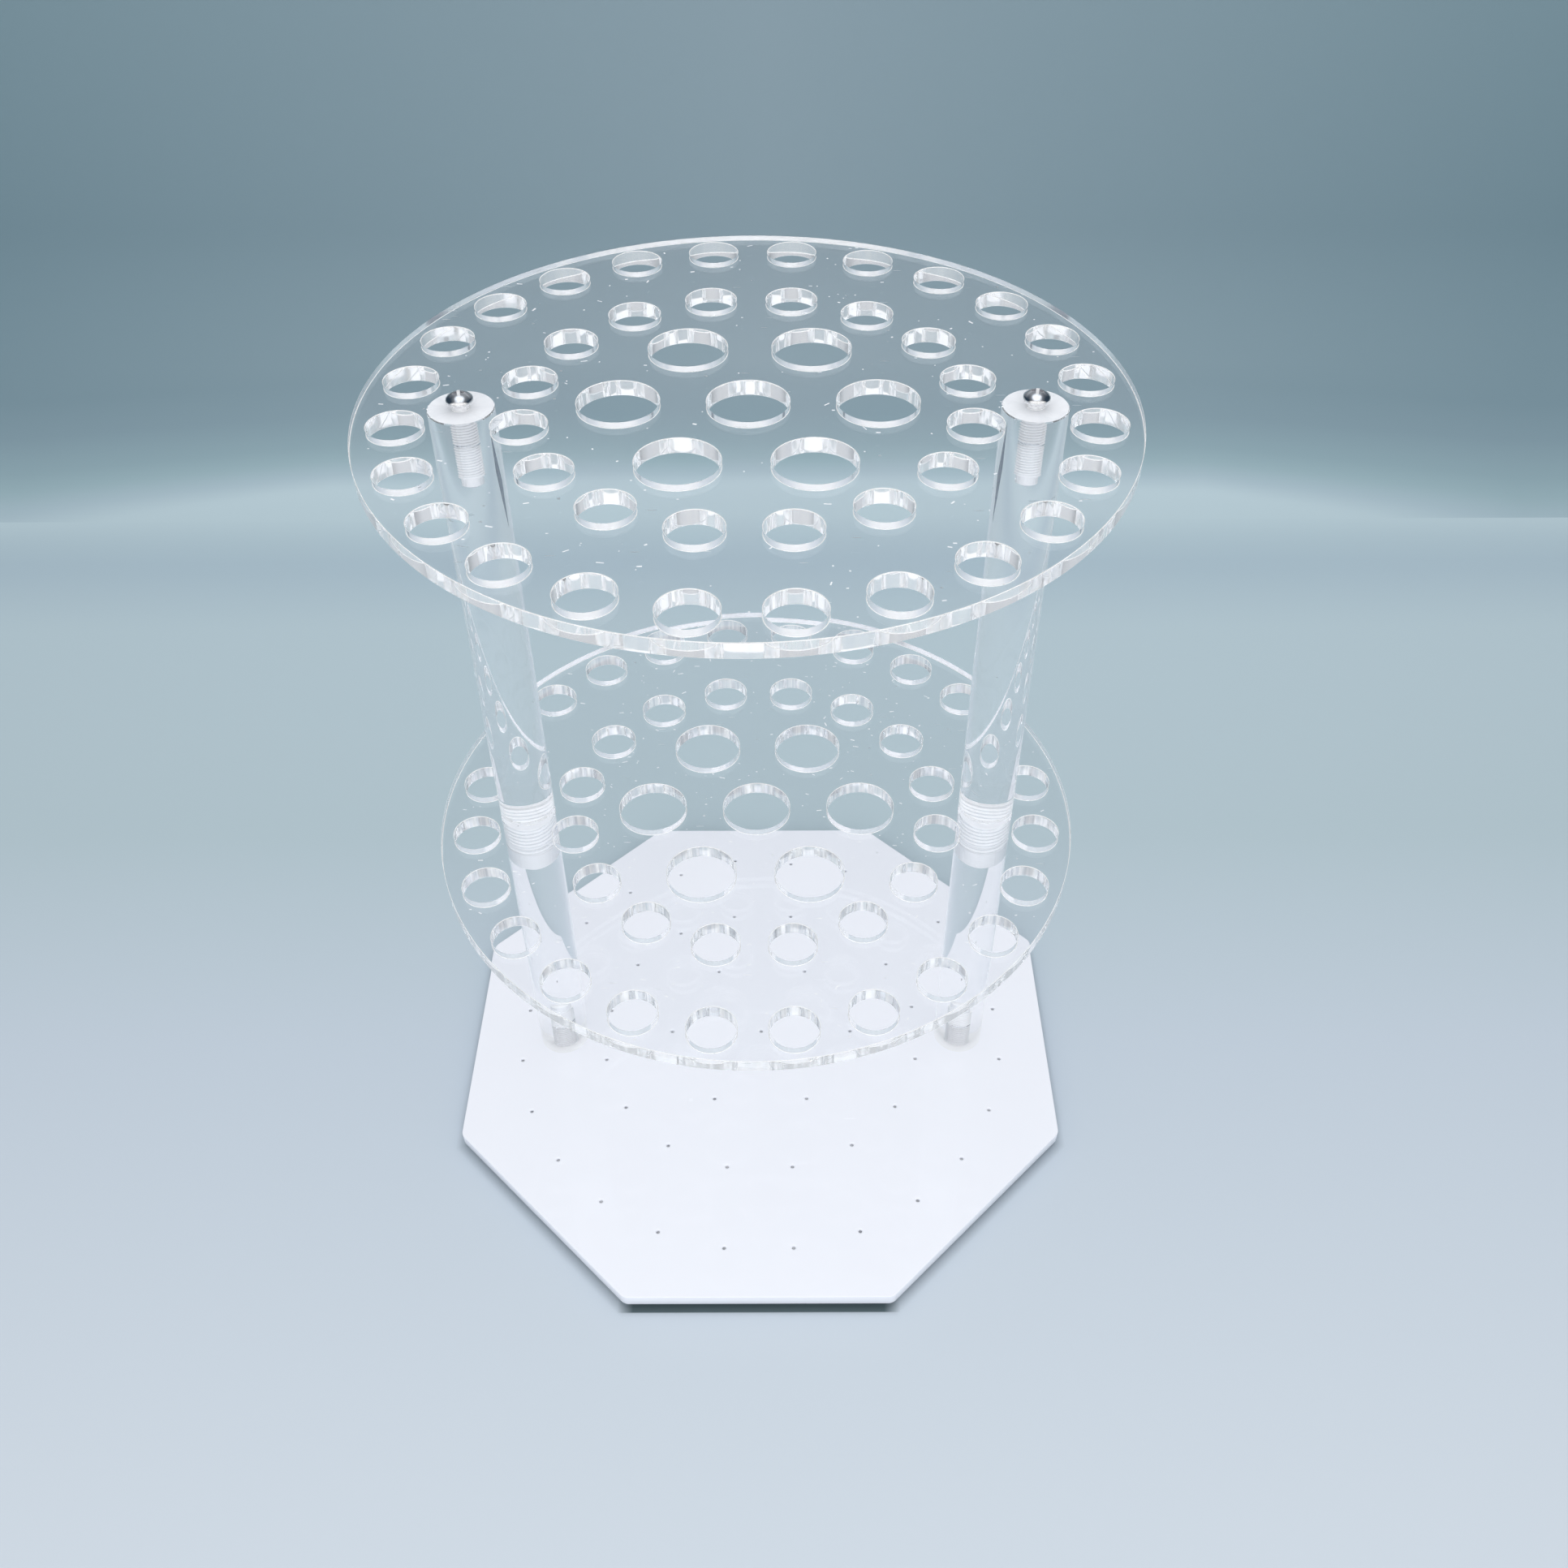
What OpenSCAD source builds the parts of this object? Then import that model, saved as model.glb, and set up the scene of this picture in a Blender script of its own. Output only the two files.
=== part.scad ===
// Round pipette stand: a white octagonal base carries two clear rods, and the rods hold two
// clear discs whose holes line up with each other and with a drilled dimple in the base.
// Each rod is in two lengths.  The upper length has a turned spigot that passes through the
// lower disc and screws into the lower length, so that the disc is gripped between them.
// Millimetres, +Z up.  The origin is on the table, under the centre of the base, and the
// rods stand on the X axis.

/* [Base plate] */
// Distance across two opposite flats of the octagon
base_across = 243.5; // [232:0.5:300]
// Thickness of the base plate
base_t = 5; // [5:0.5:12]
// Radius of the rounded corners, seen from above
base_corner_r = 4; // [1:0.5:15]
// Diameter of each locating dimple at the top face
dimple_d = 3; // [1:0.25:5]
// Point angle of the drill that made the dimples and the blind holes
drill_angle = 118; // [90:1:140]

/* [Feet] */
// Largest diameter of a foot, where it meets the base
foot_d = 12; // [8:0.5:20]
// Smaller diameter of a foot, where it meets the table
foot_tread_d = 10; // [6:0.5:20]
// Height of a foot
foot_h = 3; // [1:0.25:10]
// Distance from the base's diagonal flat to the centre of a foot
foot_inset = 14; // [11:0.5:30]

/* [Discs] */
// Diameter of both discs
disc_d = 230; // [224:0.5:260]
// Thickness of both discs
disc_t = 5; // [3:0.5:10]

/* [Pipette holes] */
// Diameter of the small holes, in the outer and the second ring
small_hole_d = 16.5; // [6:0.5:18]
// Diameter of the large holes, in the inner ring and at the centre
large_hole_d = 24.5; // [10:0.5:28]
// Radius of the ring through the centres of the outermost holes
outer_ring_r = 102.25; // [100:0.25:103]
// Number of holes in the outer ring
outer_count = 24; // [8:4:24]
// Radius of the second ring
second_ring_r = 67; // [62:0.25:69]
// Number of holes in the second ring
second_count = 16; // [8:4:16]
// Radius of the ring of large holes
inner_ring_r = 38.25; // [32:0.25:40]
// Number of holes in the inner ring
inner_count = 6; // [3:1:6]

/* [Rods] */
// Diameter of the rods
rod_d = 20; // [18:0.5:22]
// Length of the lower rods, from the base to the lower disc
lower_rod_len = 132.5; // [60:0.5:240]
// Length of the upper rods between the discs, without the spigot
upper_rod_len = 161; // [60:0.5:240]
// Small bevel that breaks the edges of the rods' end faces
rod_edge = 0.3; // [0.1:0.1:1]

/* [Spigot joint] */
// Outside diameter of the thread on the spigot
spigot_d = 12; // [8:0.5:14]
// Length of the spigot below the upper rod's shoulder
spigot_len = 18; // [14:0.5:22]
// Bevel at the tip of the spigot
spigot_tip = 1; // [0.25:0.25:2]
// Depth of the thread that the spigot turns into
socket_thread_depth = 15; // [14:0.5:20]
// Depth of the whole drilled socket, down to the drill's shoulder
socket_depth = 21; // [20:0.5:30]
// Depth of the spigot's thread form, so the difference in radius from the plain drill
socket_thread_form = 0.9; // [0.3:0.1:1.2]
// Gap all round between the spigot and the thread in the socket
spigot_clearance = 0.1; // [0.05:0.05:0.4]
// Gap all round between the spigot and its hole in the lower disc
spigot_disc_clearance = 0.2; // [0.1:0.05:1]

/* [Screw holes] */
// Depth of the threaded part of the hole in the end of a rod
tap_thread_depth = 19; // [15:0.5:24]
// Depth of the whole drilled hole in the end of a rod, down to the drill's shoulder
tap_depth = 22; // [20:0.5:28]
// Depth of the screw thread form, so the difference in radius from the plain drill
tap_thread_form = 0.4; // [0.2:0.1:0.6]
// Gap all round between a screw and the thread in the rod
tap_clearance = 0.05; // [0.05:0.05:0.2]
// Gap all round between a screw and its hole in the upper disc or the base
screw_clearance = 0.15; // [0.1:0.05:0.5]

/* [Screws] */
// Outside diameter of the screws
screw_d = 5; // [3:0.5:6]
// Length of the top screws under the head
top_screw_len = 16; // [12:0.5:22]
// Diameter of the pan heads
head_d = 8; // [7:0.25:12]
// Height of the pan heads
head_h = 2.6; // [2.2:0.1:4]
// Height of the straight rim below the dome of a pan head
head_rim = 0.9; // [0.3:0.1:1.2]
// Total length of the countersunk base screws
base_screw_len = 18; // [14:0.5:22]
// Diameter of the countersunk heads
flat_head_d = 9.2; // [8:0.2:11]
// Angle of the countersink
countersink_angle = 90; // [90:1:120]
// Gap between a countersunk head and the wall of its countersink
countersink_clearance = 0.1; // [0.05:0.05:0.3]
// Span of the cross recess in every head
recess_d = 4.4; // [3:0.1:5]
// Width of a wing of the cross recess
recess_w = 1; // [0.6:0.1:1.4]
// Depth of the cross recess at its centre
recess_depth = 1.7; // [0.8:0.1:1.9]

/* [Hidden] */

$fn = 96;
// Every cut runs past the face that it opens by this much
past = 1;

// The rods stand midway between the outer and the second ring of holes
rod_x = (outer_ring_r + second_ring_r) / 2;

// Heights of the faces that the pieces meet at
base_z = foot_h;
lower_rod_z = base_z + base_t;
lower_disc_z = lower_rod_z + lower_rod_len;
upper_rod_z = lower_disc_z + disc_t;
upper_disc_z = upper_rod_z + upper_rod_len;
top_z = upper_disc_z + disc_t;

// An octagon's corner lies this far out, and its edges turn by 45 degrees there
flats = 8;
corner_r = base_across / 2 / cos(180 / flats);
foot_ring_r = base_across / 2 - foot_inset;

acrylic = [0.80, 0.88, 0.92, 0.4];
opal = [0.95, 0.96, 0.98];
steel = [0.75, 0.76, 0.78];
black_rubber = [0.1, 0.1, 0.1];

// Centres of n equal holes on a circle of radius r, the first at the given angle
function ring(r, n, first) = [for (i = [0:n - 1]) let (a = first + i * 360 / n) [r * cos(a), r * sin(a)]];

// A gap between two small holes faces each rod, and a large hole does
small_holes = concat(ring(outer_ring_r, outer_count, 180 / outer_count),
                     ring(second_ring_r, second_count, 180 / second_count));
large_holes = concat([[0, 0]], ring(inner_ring_r, inner_count, 0));

module at_each(points) {
    for (p = points) translate([p.x, p.y, 0]) children();
}

module at_rod(side) {
    translate([side * rod_x, 0, 0]) children();
}

// A drill's pointed end: a cone of the given diameter, standing on z = 0 with its tip upwards
module drill_point(d) {
    cylinder(d1 = d, d2 = 0, h = d / 2 / tan(drill_angle / 2));
}

// The tool that cuts a blind threaded hole upwards from z = 0: a wide part as deep as the
// thread, then the plain drill, then the drill's point
module blind_thread(d, form, clearance, thread_depth, depth) {
    drill_d = d - 2 * form;
    translate([0, 0, -past]) cylinder(d = d + 2 * clearance, h = thread_depth + past);
    cylinder(d = drill_d, h = depth);
    translate([0, 0, depth]) drill_point(drill_d);
}

module screw_thread_hole() {
    blind_thread(screw_d, tap_thread_form, tap_clearance, tap_thread_depth, tap_depth);
}

// A round bar from z = 0 with both end edges broken
module bar(d, h, edge) {
    rotate_extrude()
        polygon([[0, 0], [d / 2 - edge, 0], [d / 2, edge], [d / 2, h - edge], [d / 2 - edge, h], [0, h]]);
}

// What a corner of the octagon loses to its rounding, with the corner on the X axis
module corner_waste() {
    turn = 180 / flats;
    to_arc = base_corner_r / cos(turn);
    difference() {
        polygon([[corner_r + past, 0],
                 [corner_r, past],
                 [corner_r - to_arc + base_corner_r * cos(turn), base_corner_r * sin(turn)],
                 [corner_r - to_arc + base_corner_r * cos(turn), -base_corner_r * sin(turn)],
                 [corner_r, -past]]);
        translate([corner_r - to_arc, 0]) circle(r = base_corner_r);
    }
}

module octagon() {
    difference() {
        rotate(180 / flats) circle(r = corner_r, $fn = flats);
        for (i = [0:flats - 1]) rotate((i + 0.5) * 360 / flats) corner_waste();
    }
}

// The cone of a countersunk head that is widest at z = 0
module countersink(d) {
    cylinder(d1 = d, d2 = 0, h = d / 2 / tan(countersink_angle / 2));
}

module base_plate() {
    color(opal) difference() {
        translate([0, 0, base_z]) linear_extrude(base_t) octagon();
        translate([0, 0, lower_rod_z]) mirror([0, 0, 1])
            at_each(concat(small_holes, large_holes)) drill_point(dimple_d);
        for (side = [-1, 1]) at_rod(side) translate([0, 0, base_z]) {
            translate([0, 0, -past]) cylinder(d = screw_d + 2 * screw_clearance, h = base_t + 2 * past);
            countersink(flat_head_d + 2 * countersink_clearance / cos(countersink_angle / 2));
        }
    }
}

module foot(across, along) {
    turn = 360 / flats;
    color(black_rubber)
        translate([across * foot_ring_r * cos(turn), along * foot_ring_r * sin(turn), 0])
            cylinder(d1 = foot_tread_d, d2 = foot_d, h = foot_h);
}

// The cross recess, cut downwards from z = 0: two wings that taper to a point
module recess() {
    mirror([0, 0, 1]) intersection() {
        cylinder(d1 = recess_d, d2 = recess_w, h = recess_depth);
        union() {
            for (turn = [0, 90]) rotate(turn)
                translate([-recess_d, -recess_w / 2, 0]) cube([2 * recess_d, recess_w, recess_depth]);
        }
    }
}

// A screw's plain shank, with the bevel that starts it, hanging down from z = 0
module shank(len) {
    tip = screw_d / 10;
    mirror([0, 0, 1]) rotate_extrude()
        polygon([[0, 0], [screw_d / 2, 0], [screw_d / 2, len - tip], [screw_d / 2 - tip, len], [0, len]]);
}

module top_screw(side) {
    dome_h = head_h - head_rim;
    dome_r = (pow(head_d / 2, 2) + pow(dome_h, 2)) / (2 * dome_h);
    color(steel) at_rod(side) translate([0, 0, top_z]) {
        difference() {
            intersection() {
                cylinder(d = head_d, h = head_h);
                translate([0, 0, head_h - dome_r]) sphere(r = dome_r);
            }
            translate([0, 0, head_h]) recess();
        }
        shank(top_screw_len);
    }
}

module base_screw(side) {
    color(steel) at_rod(side) translate([0, 0, base_z]) mirror([0, 0, 1]) difference() {
        union() {
            mirror([0, 0, 1]) countersink(flat_head_d);
            shank(base_screw_len);
        }
        recess();
    }
}

module lower_rod(side) {
    color(acrylic) at_rod(side) translate([0, 0, lower_rod_z]) difference() {
        bar(rod_d, lower_rod_len, rod_edge);
        screw_thread_hole();
        translate([0, 0, lower_rod_len]) mirror([0, 0, 1])
            blind_thread(spigot_d, socket_thread_form, spigot_clearance, socket_thread_depth, socket_depth);
    }
}

module upper_rod(side) {
    color(acrylic) at_rod(side) translate([0, 0, upper_rod_z]) {
        difference() {
            bar(rod_d, upper_rod_len, rod_edge);
            translate([0, 0, upper_rod_len]) mirror([0, 0, 1]) screw_thread_hole();
        }
        mirror([0, 0, 1]) rotate_extrude()
            polygon([[0, 0], [spigot_d / 2, 0], [spigot_d / 2, spigot_len - spigot_tip],
                     [spigot_d / 2 - spigot_tip, spigot_len], [0, spigot_len]]);
    }
}

// A disc from z = 0 with every pipette hole, and one hole of the given diameter for each rod
module disc(rod_hole_d) {
    color(acrylic) difference() {
        cylinder(d = disc_d, h = disc_t);
        translate([0, 0, -past]) {
            at_each(small_holes) cylinder(d = small_hole_d, h = disc_t + 2 * past);
            at_each(large_holes) cylinder(d = large_hole_d, h = disc_t + 2 * past);
            for (side = [-1, 1]) at_rod(side) cylinder(d = rod_hole_d, h = disc_t + 2 * past);
        }
    }
}

module lower_disc() {
    translate([0, 0, lower_disc_z]) disc(spigot_d + 2 * spigot_disc_clearance);
}

module upper_disc() {
    translate([0, 0, upper_disc_z]) disc(screw_d + 2 * screw_clearance);
}

base_plate();
foot(-1, -1);  // foot_front_left
foot(1, -1);  // foot_front_right
foot(-1, 1);  // foot_back_left
foot(1, 1);  // foot_back_right
base_screw(-1);  // base_screw_left
base_screw(1);  // base_screw_right
lower_rod(-1);  // lower_rod_left
lower_rod(1);  // lower_rod_right
lower_disc();
upper_rod(-1);  // upper_rod_left
upper_rod(1);  // upper_rod_right
upper_disc();
top_screw(-1);  // top_screw_left
top_screw(1);  // top_screw_right
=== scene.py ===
"""Round pipette stand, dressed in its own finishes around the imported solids.

A white octagonal base carries two clear rods, and the rods hold two clear discs of aligned
holes.  Each solid is stood for by a finer piece here: turned rods with real screw threads,
laser-cut discs with melted edges, a drilled base, cross-recessed screws and rubber feet.
All lengths are in metres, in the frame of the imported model.
"""

import logging
import math
import random
from dataclasses import dataclass
from enum import Enum, IntEnum
from typing import Any, Dict, Iterable, List, Optional, Sequence, Tuple

import bmesh
import bpy
from mathutils import Matrix, Vector


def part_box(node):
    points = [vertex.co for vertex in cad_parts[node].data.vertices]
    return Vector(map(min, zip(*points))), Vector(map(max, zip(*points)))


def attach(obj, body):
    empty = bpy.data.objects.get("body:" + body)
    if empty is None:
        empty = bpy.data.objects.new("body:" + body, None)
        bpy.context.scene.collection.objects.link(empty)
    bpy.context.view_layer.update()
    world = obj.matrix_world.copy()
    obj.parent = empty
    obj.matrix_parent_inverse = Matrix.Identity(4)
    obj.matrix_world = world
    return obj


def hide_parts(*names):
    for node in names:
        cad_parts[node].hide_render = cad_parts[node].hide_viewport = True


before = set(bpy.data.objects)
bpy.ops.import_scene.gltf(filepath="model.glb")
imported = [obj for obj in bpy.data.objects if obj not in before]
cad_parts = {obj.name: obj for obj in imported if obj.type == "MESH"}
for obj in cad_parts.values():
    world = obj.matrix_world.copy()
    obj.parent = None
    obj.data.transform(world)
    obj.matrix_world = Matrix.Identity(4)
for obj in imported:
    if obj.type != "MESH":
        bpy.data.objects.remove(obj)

log = logging.getLogger("pipette_stand")

Colour = Tuple[float, float, float]
Point2 = Tuple[float, float]
Point3 = Tuple[float, float, float]
Profile = List[Point2]
Mesh = bmesh.types.BMesh
Faces = List[bmesh.types.BMFace]
Material = bpy.types.Material
Piece = bpy.types.Object
Socket = Any

BODY = "root"
MM = 0.001
FULL_TURN = 2 * math.pi
MERGE = 1e-7
NEAR = MERGE * 10
SLIVER = MERGE / 10
SHARP_ANGLE = math.radians(28)
LEVEL = 0.999999
GROOVE_RINGS = 8
CUT_MAP = "cut_lay"
CUT_MAP_SHIFT = 7.0
THREAD_MAP = "thread_lay"
ACRYLIC_IOR = 1.49


class Side(Enum):
    """The two rods and everything that goes with them, by the sign of their X."""

    LEFT = -1
    RIGHT = 1

    @property
    def word(self) -> str:
        """The side's name as the nodes spell it."""
        return self.name.lower()


class Head(Enum):
    """The two kinds of screw head."""

    PAN = "pan"
    COUNTERSUNK = "countersunk"


class DiscFace(IntEnum):
    """The kinds of face on a disc, in the order of its materials."""

    SHEET = 0
    HOLE = 1
    FLECK = 2
    MELT = 3
    RIM = 4


class RodFace(IntEnum):
    """The kinds of face on a rod, in the order of its materials."""

    SIDE = 0
    END = 1
    TAPPED = 2
    JOINT = 3


# ---------------------------------------------------------------------------------------
# Shader graphs
# ---------------------------------------------------------------------------------------


class Graph:
    """A node tree under construction, with its nodes placed and joined in few words."""

    def __init__(self, tree: bpy.types.NodeTree) -> None:
        """Takes an existing tree and empties it."""
        self.tree = tree
        tree.nodes.clear()

    def feed(self, node: bpy.types.Node, feeds: Dict[Any, Any]) -> None:
        """Gives a node's inputs their links and plain values.

        Args:
            node: the node.
            feeds: a socket, number, vector or colour for each input, by its name or number.
        """
        for key, value in feeds.items():
            target = node.inputs[key]
            if isinstance(value, bpy.types.NodeSocket):
                self.tree.links.new(value, target)
            else:
                target.default_value = (*value, 1.0) if target.type == "RGBA" else value

    def add(self, kind: str, feeds: Optional[Dict[Any, Any]] = None, **settings: Any) -> Any:
        """Places a node.

        Args:
            kind: the node's Blender type name.
            feeds: what its inputs are given, as in feed.
            **settings: properties of the node, set by name.

        Returns:
            The new node.
        """
        node = self.tree.nodes.new(kind)
        for name, value in settings.items():
            setattr(node, name, value)
        self.feed(node, feeds or {})
        return node

    def math(self, operation: str, first: Any, second: Any = 0.0) -> Socket:
        """Works out one operation on two sockets or numbers."""
        return self.add("ShaderNodeMath", {0: first, 1: second}, operation=operation).outputs[0]

    def blend(self, share: Any, first: Any, second: Any) -> Socket:
        """Mixes two colours: a share of 0 gives the first, and 1 the second."""
        feeds = {0: share, 6: first, 7: second}
        return self.add("ShaderNodeMix", feeds, data_type="RGBA").outputs[2]

    def either(self, share: Socket, first: Any, second: Any) -> Socket:
        """Mixes the results of two shader nodes: a share of 0 gives the first's."""
        feeds = {0: share, 1: first.outputs[0], 2: second.outputs[0]}
        return self.add("ShaderNodeMixShader", feeds).outputs[0]

    def stretch(
        self, source: Socket, low: float, high: float, to_low: float = 0.0, to_high: float = 1.0
    ) -> Socket:
        """Maps a range of a value onto another range, with its ends held.

        Args:
            source: the socket to read.
            low: the value that becomes to_low.
            high: the value that becomes to_high.
            to_low: the result at low.
            to_high: the result at high.

        Returns:
            The result's socket.
        """
        feeds = {"Value": source, "From Min": low, "From Max": high, "To Min": to_low}
        node = self.add("ShaderNodeMapRange", {**feeds, "To Max": to_high}, clamp=True)
        return node.outputs["Result"]

    def ramp(self, source: Socket, stops: Sequence[Tuple[float, Colour]]) -> Socket:
        """Reads a colour from a row of stops.

        Args:
            source: the socket to read.
            stops: each value with its colour, in rising order.

        Returns:
            The colour's socket.
        """
        low, high = stops[0][0], stops[-1][0]
        node = self.add("ShaderNodeValToRGB", {0: self.stretch(source, low, high)})
        elements = node.color_ramp.elements
        elements[0].position, elements[1].position = 0.0, 1.0
        for value, _ in stops[1:-1]:
            elements.new((value - low) / (high - low))
        for element, (_, colour) in zip(elements, stops):
            element.color = (*colour, 1.0)
        return node.outputs[0]

    def noise(self, place: Socket, scale: Any, detail: float) -> Socket:
        """Reads a soft noise at a place."""
        feeds = {"Vector": place, "Scale": scale, "Detail": detail}
        return self.add("ShaderNodeTexNoise", feeds).outputs[0]

    def bump(self, height: Socket, distance: float) -> Socket:
        """Turns a height of 0 to 1 into a normal, with 1 standing for the distance."""
        feeds = {"Height": height, "Distance": distance, "Strength": 1.0}
        return self.add("ShaderNodeBump", feeds).outputs["Normal"]


def new_group(
    name: str, inputs: Dict[str, float], outputs: Sequence[str]
) -> Tuple[Graph, Any, bpy.types.Node]:
    """Makes a shader node group whose first input is a vector called Place.

    Args:
        name: the group's name.
        inputs: the name of each number that it takes, with its usual value.
        outputs: the name of each number that it gives.

    Returns:
        The group's graph, what it is given, and its output node.
    """
    tree = bpy.data.node_groups.new(name, "ShaderNodeTree")
    face = tree.interface
    face.new_socket("Place", in_out="INPUT", socket_type="NodeSocketVector")
    for key, value in inputs.items():
        taken = face.new_socket(key, in_out="INPUT", socket_type="NodeSocketFloat")
        taken.default_value = value
    for key in outputs:
        face.new_socket(key, in_out="OUTPUT", socket_type="NodeSocketFloat")
    graph = Graph(tree)
    return graph, graph.add("NodeGroupInput").outputs, graph.add("NodeGroupOutput")


@dataclass(frozen=True)
class CellMark:
    """Marks on a few cells of a cell pattern, round or drawn out along a line.

    The scale is the name of the group input that sets the pattern's scale.
    """

    scale: str
    turn: float
    squeeze: float
    reach: Point2
    channel: int
    rarity: float

    def mask(self, graph: Graph, given: Any) -> Socket:
        """Builds the marks' mask in a group.

        Args:
            graph: the group's graph.
            given: what the group is given.

        Returns:
            The mask's socket.
        """
        feeds = {"Rotation": (0.0, 0.0, self.turn), "Scale": (1.0, self.squeeze, 1.0)}
        turned = graph.add("ShaderNodeMapping", {"Vector": given["Place"], **feeds})
        feeds = {"Vector": turned.outputs[0], "Scale": given[self.scale]}
        cells = graph.add("ShaderNodeTexVoronoi", feeds, feature="F1").outputs
        parts = graph.add("ShaderNodeSeparateColor", {0: cells["Color"]}).outputs
        chosen = graph.math("GREATER_THAN", parts[self.channel], self.rarity)
        near = graph.stretch(cells["Distance"], *self.reach, 1.0, 0.0)
        return graph.math("MULTIPLY", near, chosen)


class Effects:
    """The node groups that several finishes share, each built the first time it is asked for."""

    _made: Dict[str, bpy.types.NodeTree] = {}

    @classmethod
    def place(cls, graph: Graph, name: str, where: Socket, **values: float) -> Any:
        """Places one of the shared groups in a material.

        Args:
            graph: the material's graph.
            name: the method that builds the group.
            where: the coordinates it reads.
            **values: its inputs, with spaces written as underscores.

        Returns:
            The group node's outputs.
        """
        if name not in cls._made:
            cls._made[name] = getattr(cls, name)()
        feeds = {"Place": where, **{key.replace("_", " "): v for key, v in values.items()}}
        return graph.add("ShaderNodeGroup", feeds, node_tree=cls._made[name]).outputs

    @staticmethod
    def handling() -> bpy.types.NodeTree:
        """Specks and short hairline scuffs that handled sheet and rod pick up.

        Returns:
            The group.
        """
        inputs = {"Speck Scale": 160.0, "Scuff Scale": 90.0, "Amount": 1.0}
        graph, given, result = new_group("handling marks", inputs, ("Mask",))
        specks = CellMark("Speck Scale", 0.0, 1.0, (0.05, 0.09), 0, 0.86)
        scuffs = CellMark("Scuff Scale", 0.6, 9.0, (0.1, 0.16), 1, 0.975)
        both = graph.math("MAXIMUM", *(mark.mask(graph, given) for mark in (specks, scuffs)))
        graph.feed(result, {"Mask": graph.math("MULTIPLY", both, given["Amount"])})
        return graph.tree

    @staticmethod
    def waviness() -> bpy.types.NodeTree:
        """The slow, shallow unevenness of cast sheet and extruded rod.

        Returns:
            The group.
        """
        graph, given, result = new_group("sheet waviness", {"Scale": 18.0}, ("Height",))
        graph.feed(result, {"Height": graph.noise(given["Place"], given["Scale"], 1.0)})
        return graph.tree

    @staticmethod
    def grain() -> bpy.types.NodeTree:
        """A fine even grain, with broader patches of wear.

        Returns:
            The group.
        """
        inputs = {"Scale": 2500.0, "Patch Scale": 300.0}
        graph, given, result = new_group("fine grain", inputs, ("Grain", "Patches"))
        for scale, name, detail in (("Scale", "Grain", 3.0), ("Patch Scale", "Patches", 2.0)):
            graph.feed(result, {name: graph.noise(given["Place"], given[scale], detail)})
        return graph.tree


class Surface(Graph):
    """A material under construction, with one Principled shader."""

    def __init__(self, name: str, **values: Any) -> None:
        """Makes the material.

        Args:
            name: its name.
            **values: its shader's inputs, as in set.
        """
        self.material = bpy.data.materials.new(name)
        self.material.use_nodes = True
        super().__init__(self.material.node_tree)
        self.shader = self.add("ShaderNodeBsdfPrincipled")
        self.output = self.add("ShaderNodeOutputMaterial", {"Surface": self.shader.outputs[0]})
        self.set(**values)

    def set(self, **values: Any) -> None:
        """Feeds the shader's inputs, whose names have underscores for their spaces."""
        self.feed(self.shader, {key.replace("_", " "): v for key, v in values.items()})

    def coordinates(self) -> Socket:
        """The Object coordinates."""
        return self.add("ShaderNodeTexCoord").outputs["Object"]

    def effect(self, name: str, **values: float) -> Any:
        """Places a shared effect over the Object coordinates, and returns its outputs."""
        return Effects.place(self, name, self.coordinates(), **values)

    def pass_lamps(self, tint: Colour) -> Material:
        """Lets lamps and scattered light pass clear plastic, as they do once it is thin and flat.

        Args:
            tint: what such light keeps of each colour at one surface.

        Returns:
            The finished material.
        """
        path = self.add("ShaderNodeLightPath").outputs
        passes = self.math("MAXIMUM", path["Is Shadow Ray"], path["Is Diffuse Ray"])
        through = self.add("ShaderNodeBsdfTransparent", {"Color": tint})
        self.feed(self.output, {"Surface": self.either(passes, self.shader, through)})
        return self.material


# ---------------------------------------------------------------------------------------
# Finishes
# ---------------------------------------------------------------------------------------


def dimmed(colour: Colour, share: float) -> Colour:
    """A share of a colour."""
    return tuple(c * share for c in colour)


@dataclass(frozen=True)
class ClearAcrylic:
    """Polished clear acrylic, with its waviness and a few handling marks."""

    name: str
    colour: Colour = (0.985, 0.992, 1.0)
    haze: float = 0.0
    roughness: float = 0.0
    mark_roughness: float = 0.65
    marks: float = 1.0
    wave_scale: float = 18.0
    wave_depth: float = 0.03 * MM
    lamp_tint: Colour = (0.988, 0.99, 0.992)

    def make(self) -> Material:
        """Builds the material.

        Returns:
            The material.
        """
        surface = Surface(self.name, Base_Color=self.colour, IOR=ACRYLIC_IOR)
        marks = surface.effect("handling", Amount=self.marks)["Mask"]
        wave = surface.effect("waviness", Scale=self.wave_scale)["Height"]
        surface.set(
            Transmission_Weight=1.0 - self.haze,
            Roughness=surface.stretch(marks, 0.0, 1.0, self.roughness, self.mark_roughness),
            Normal=surface.bump(wave, self.wave_depth),
        )
        return surface.pass_lamps(self.lamp_tint)


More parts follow.
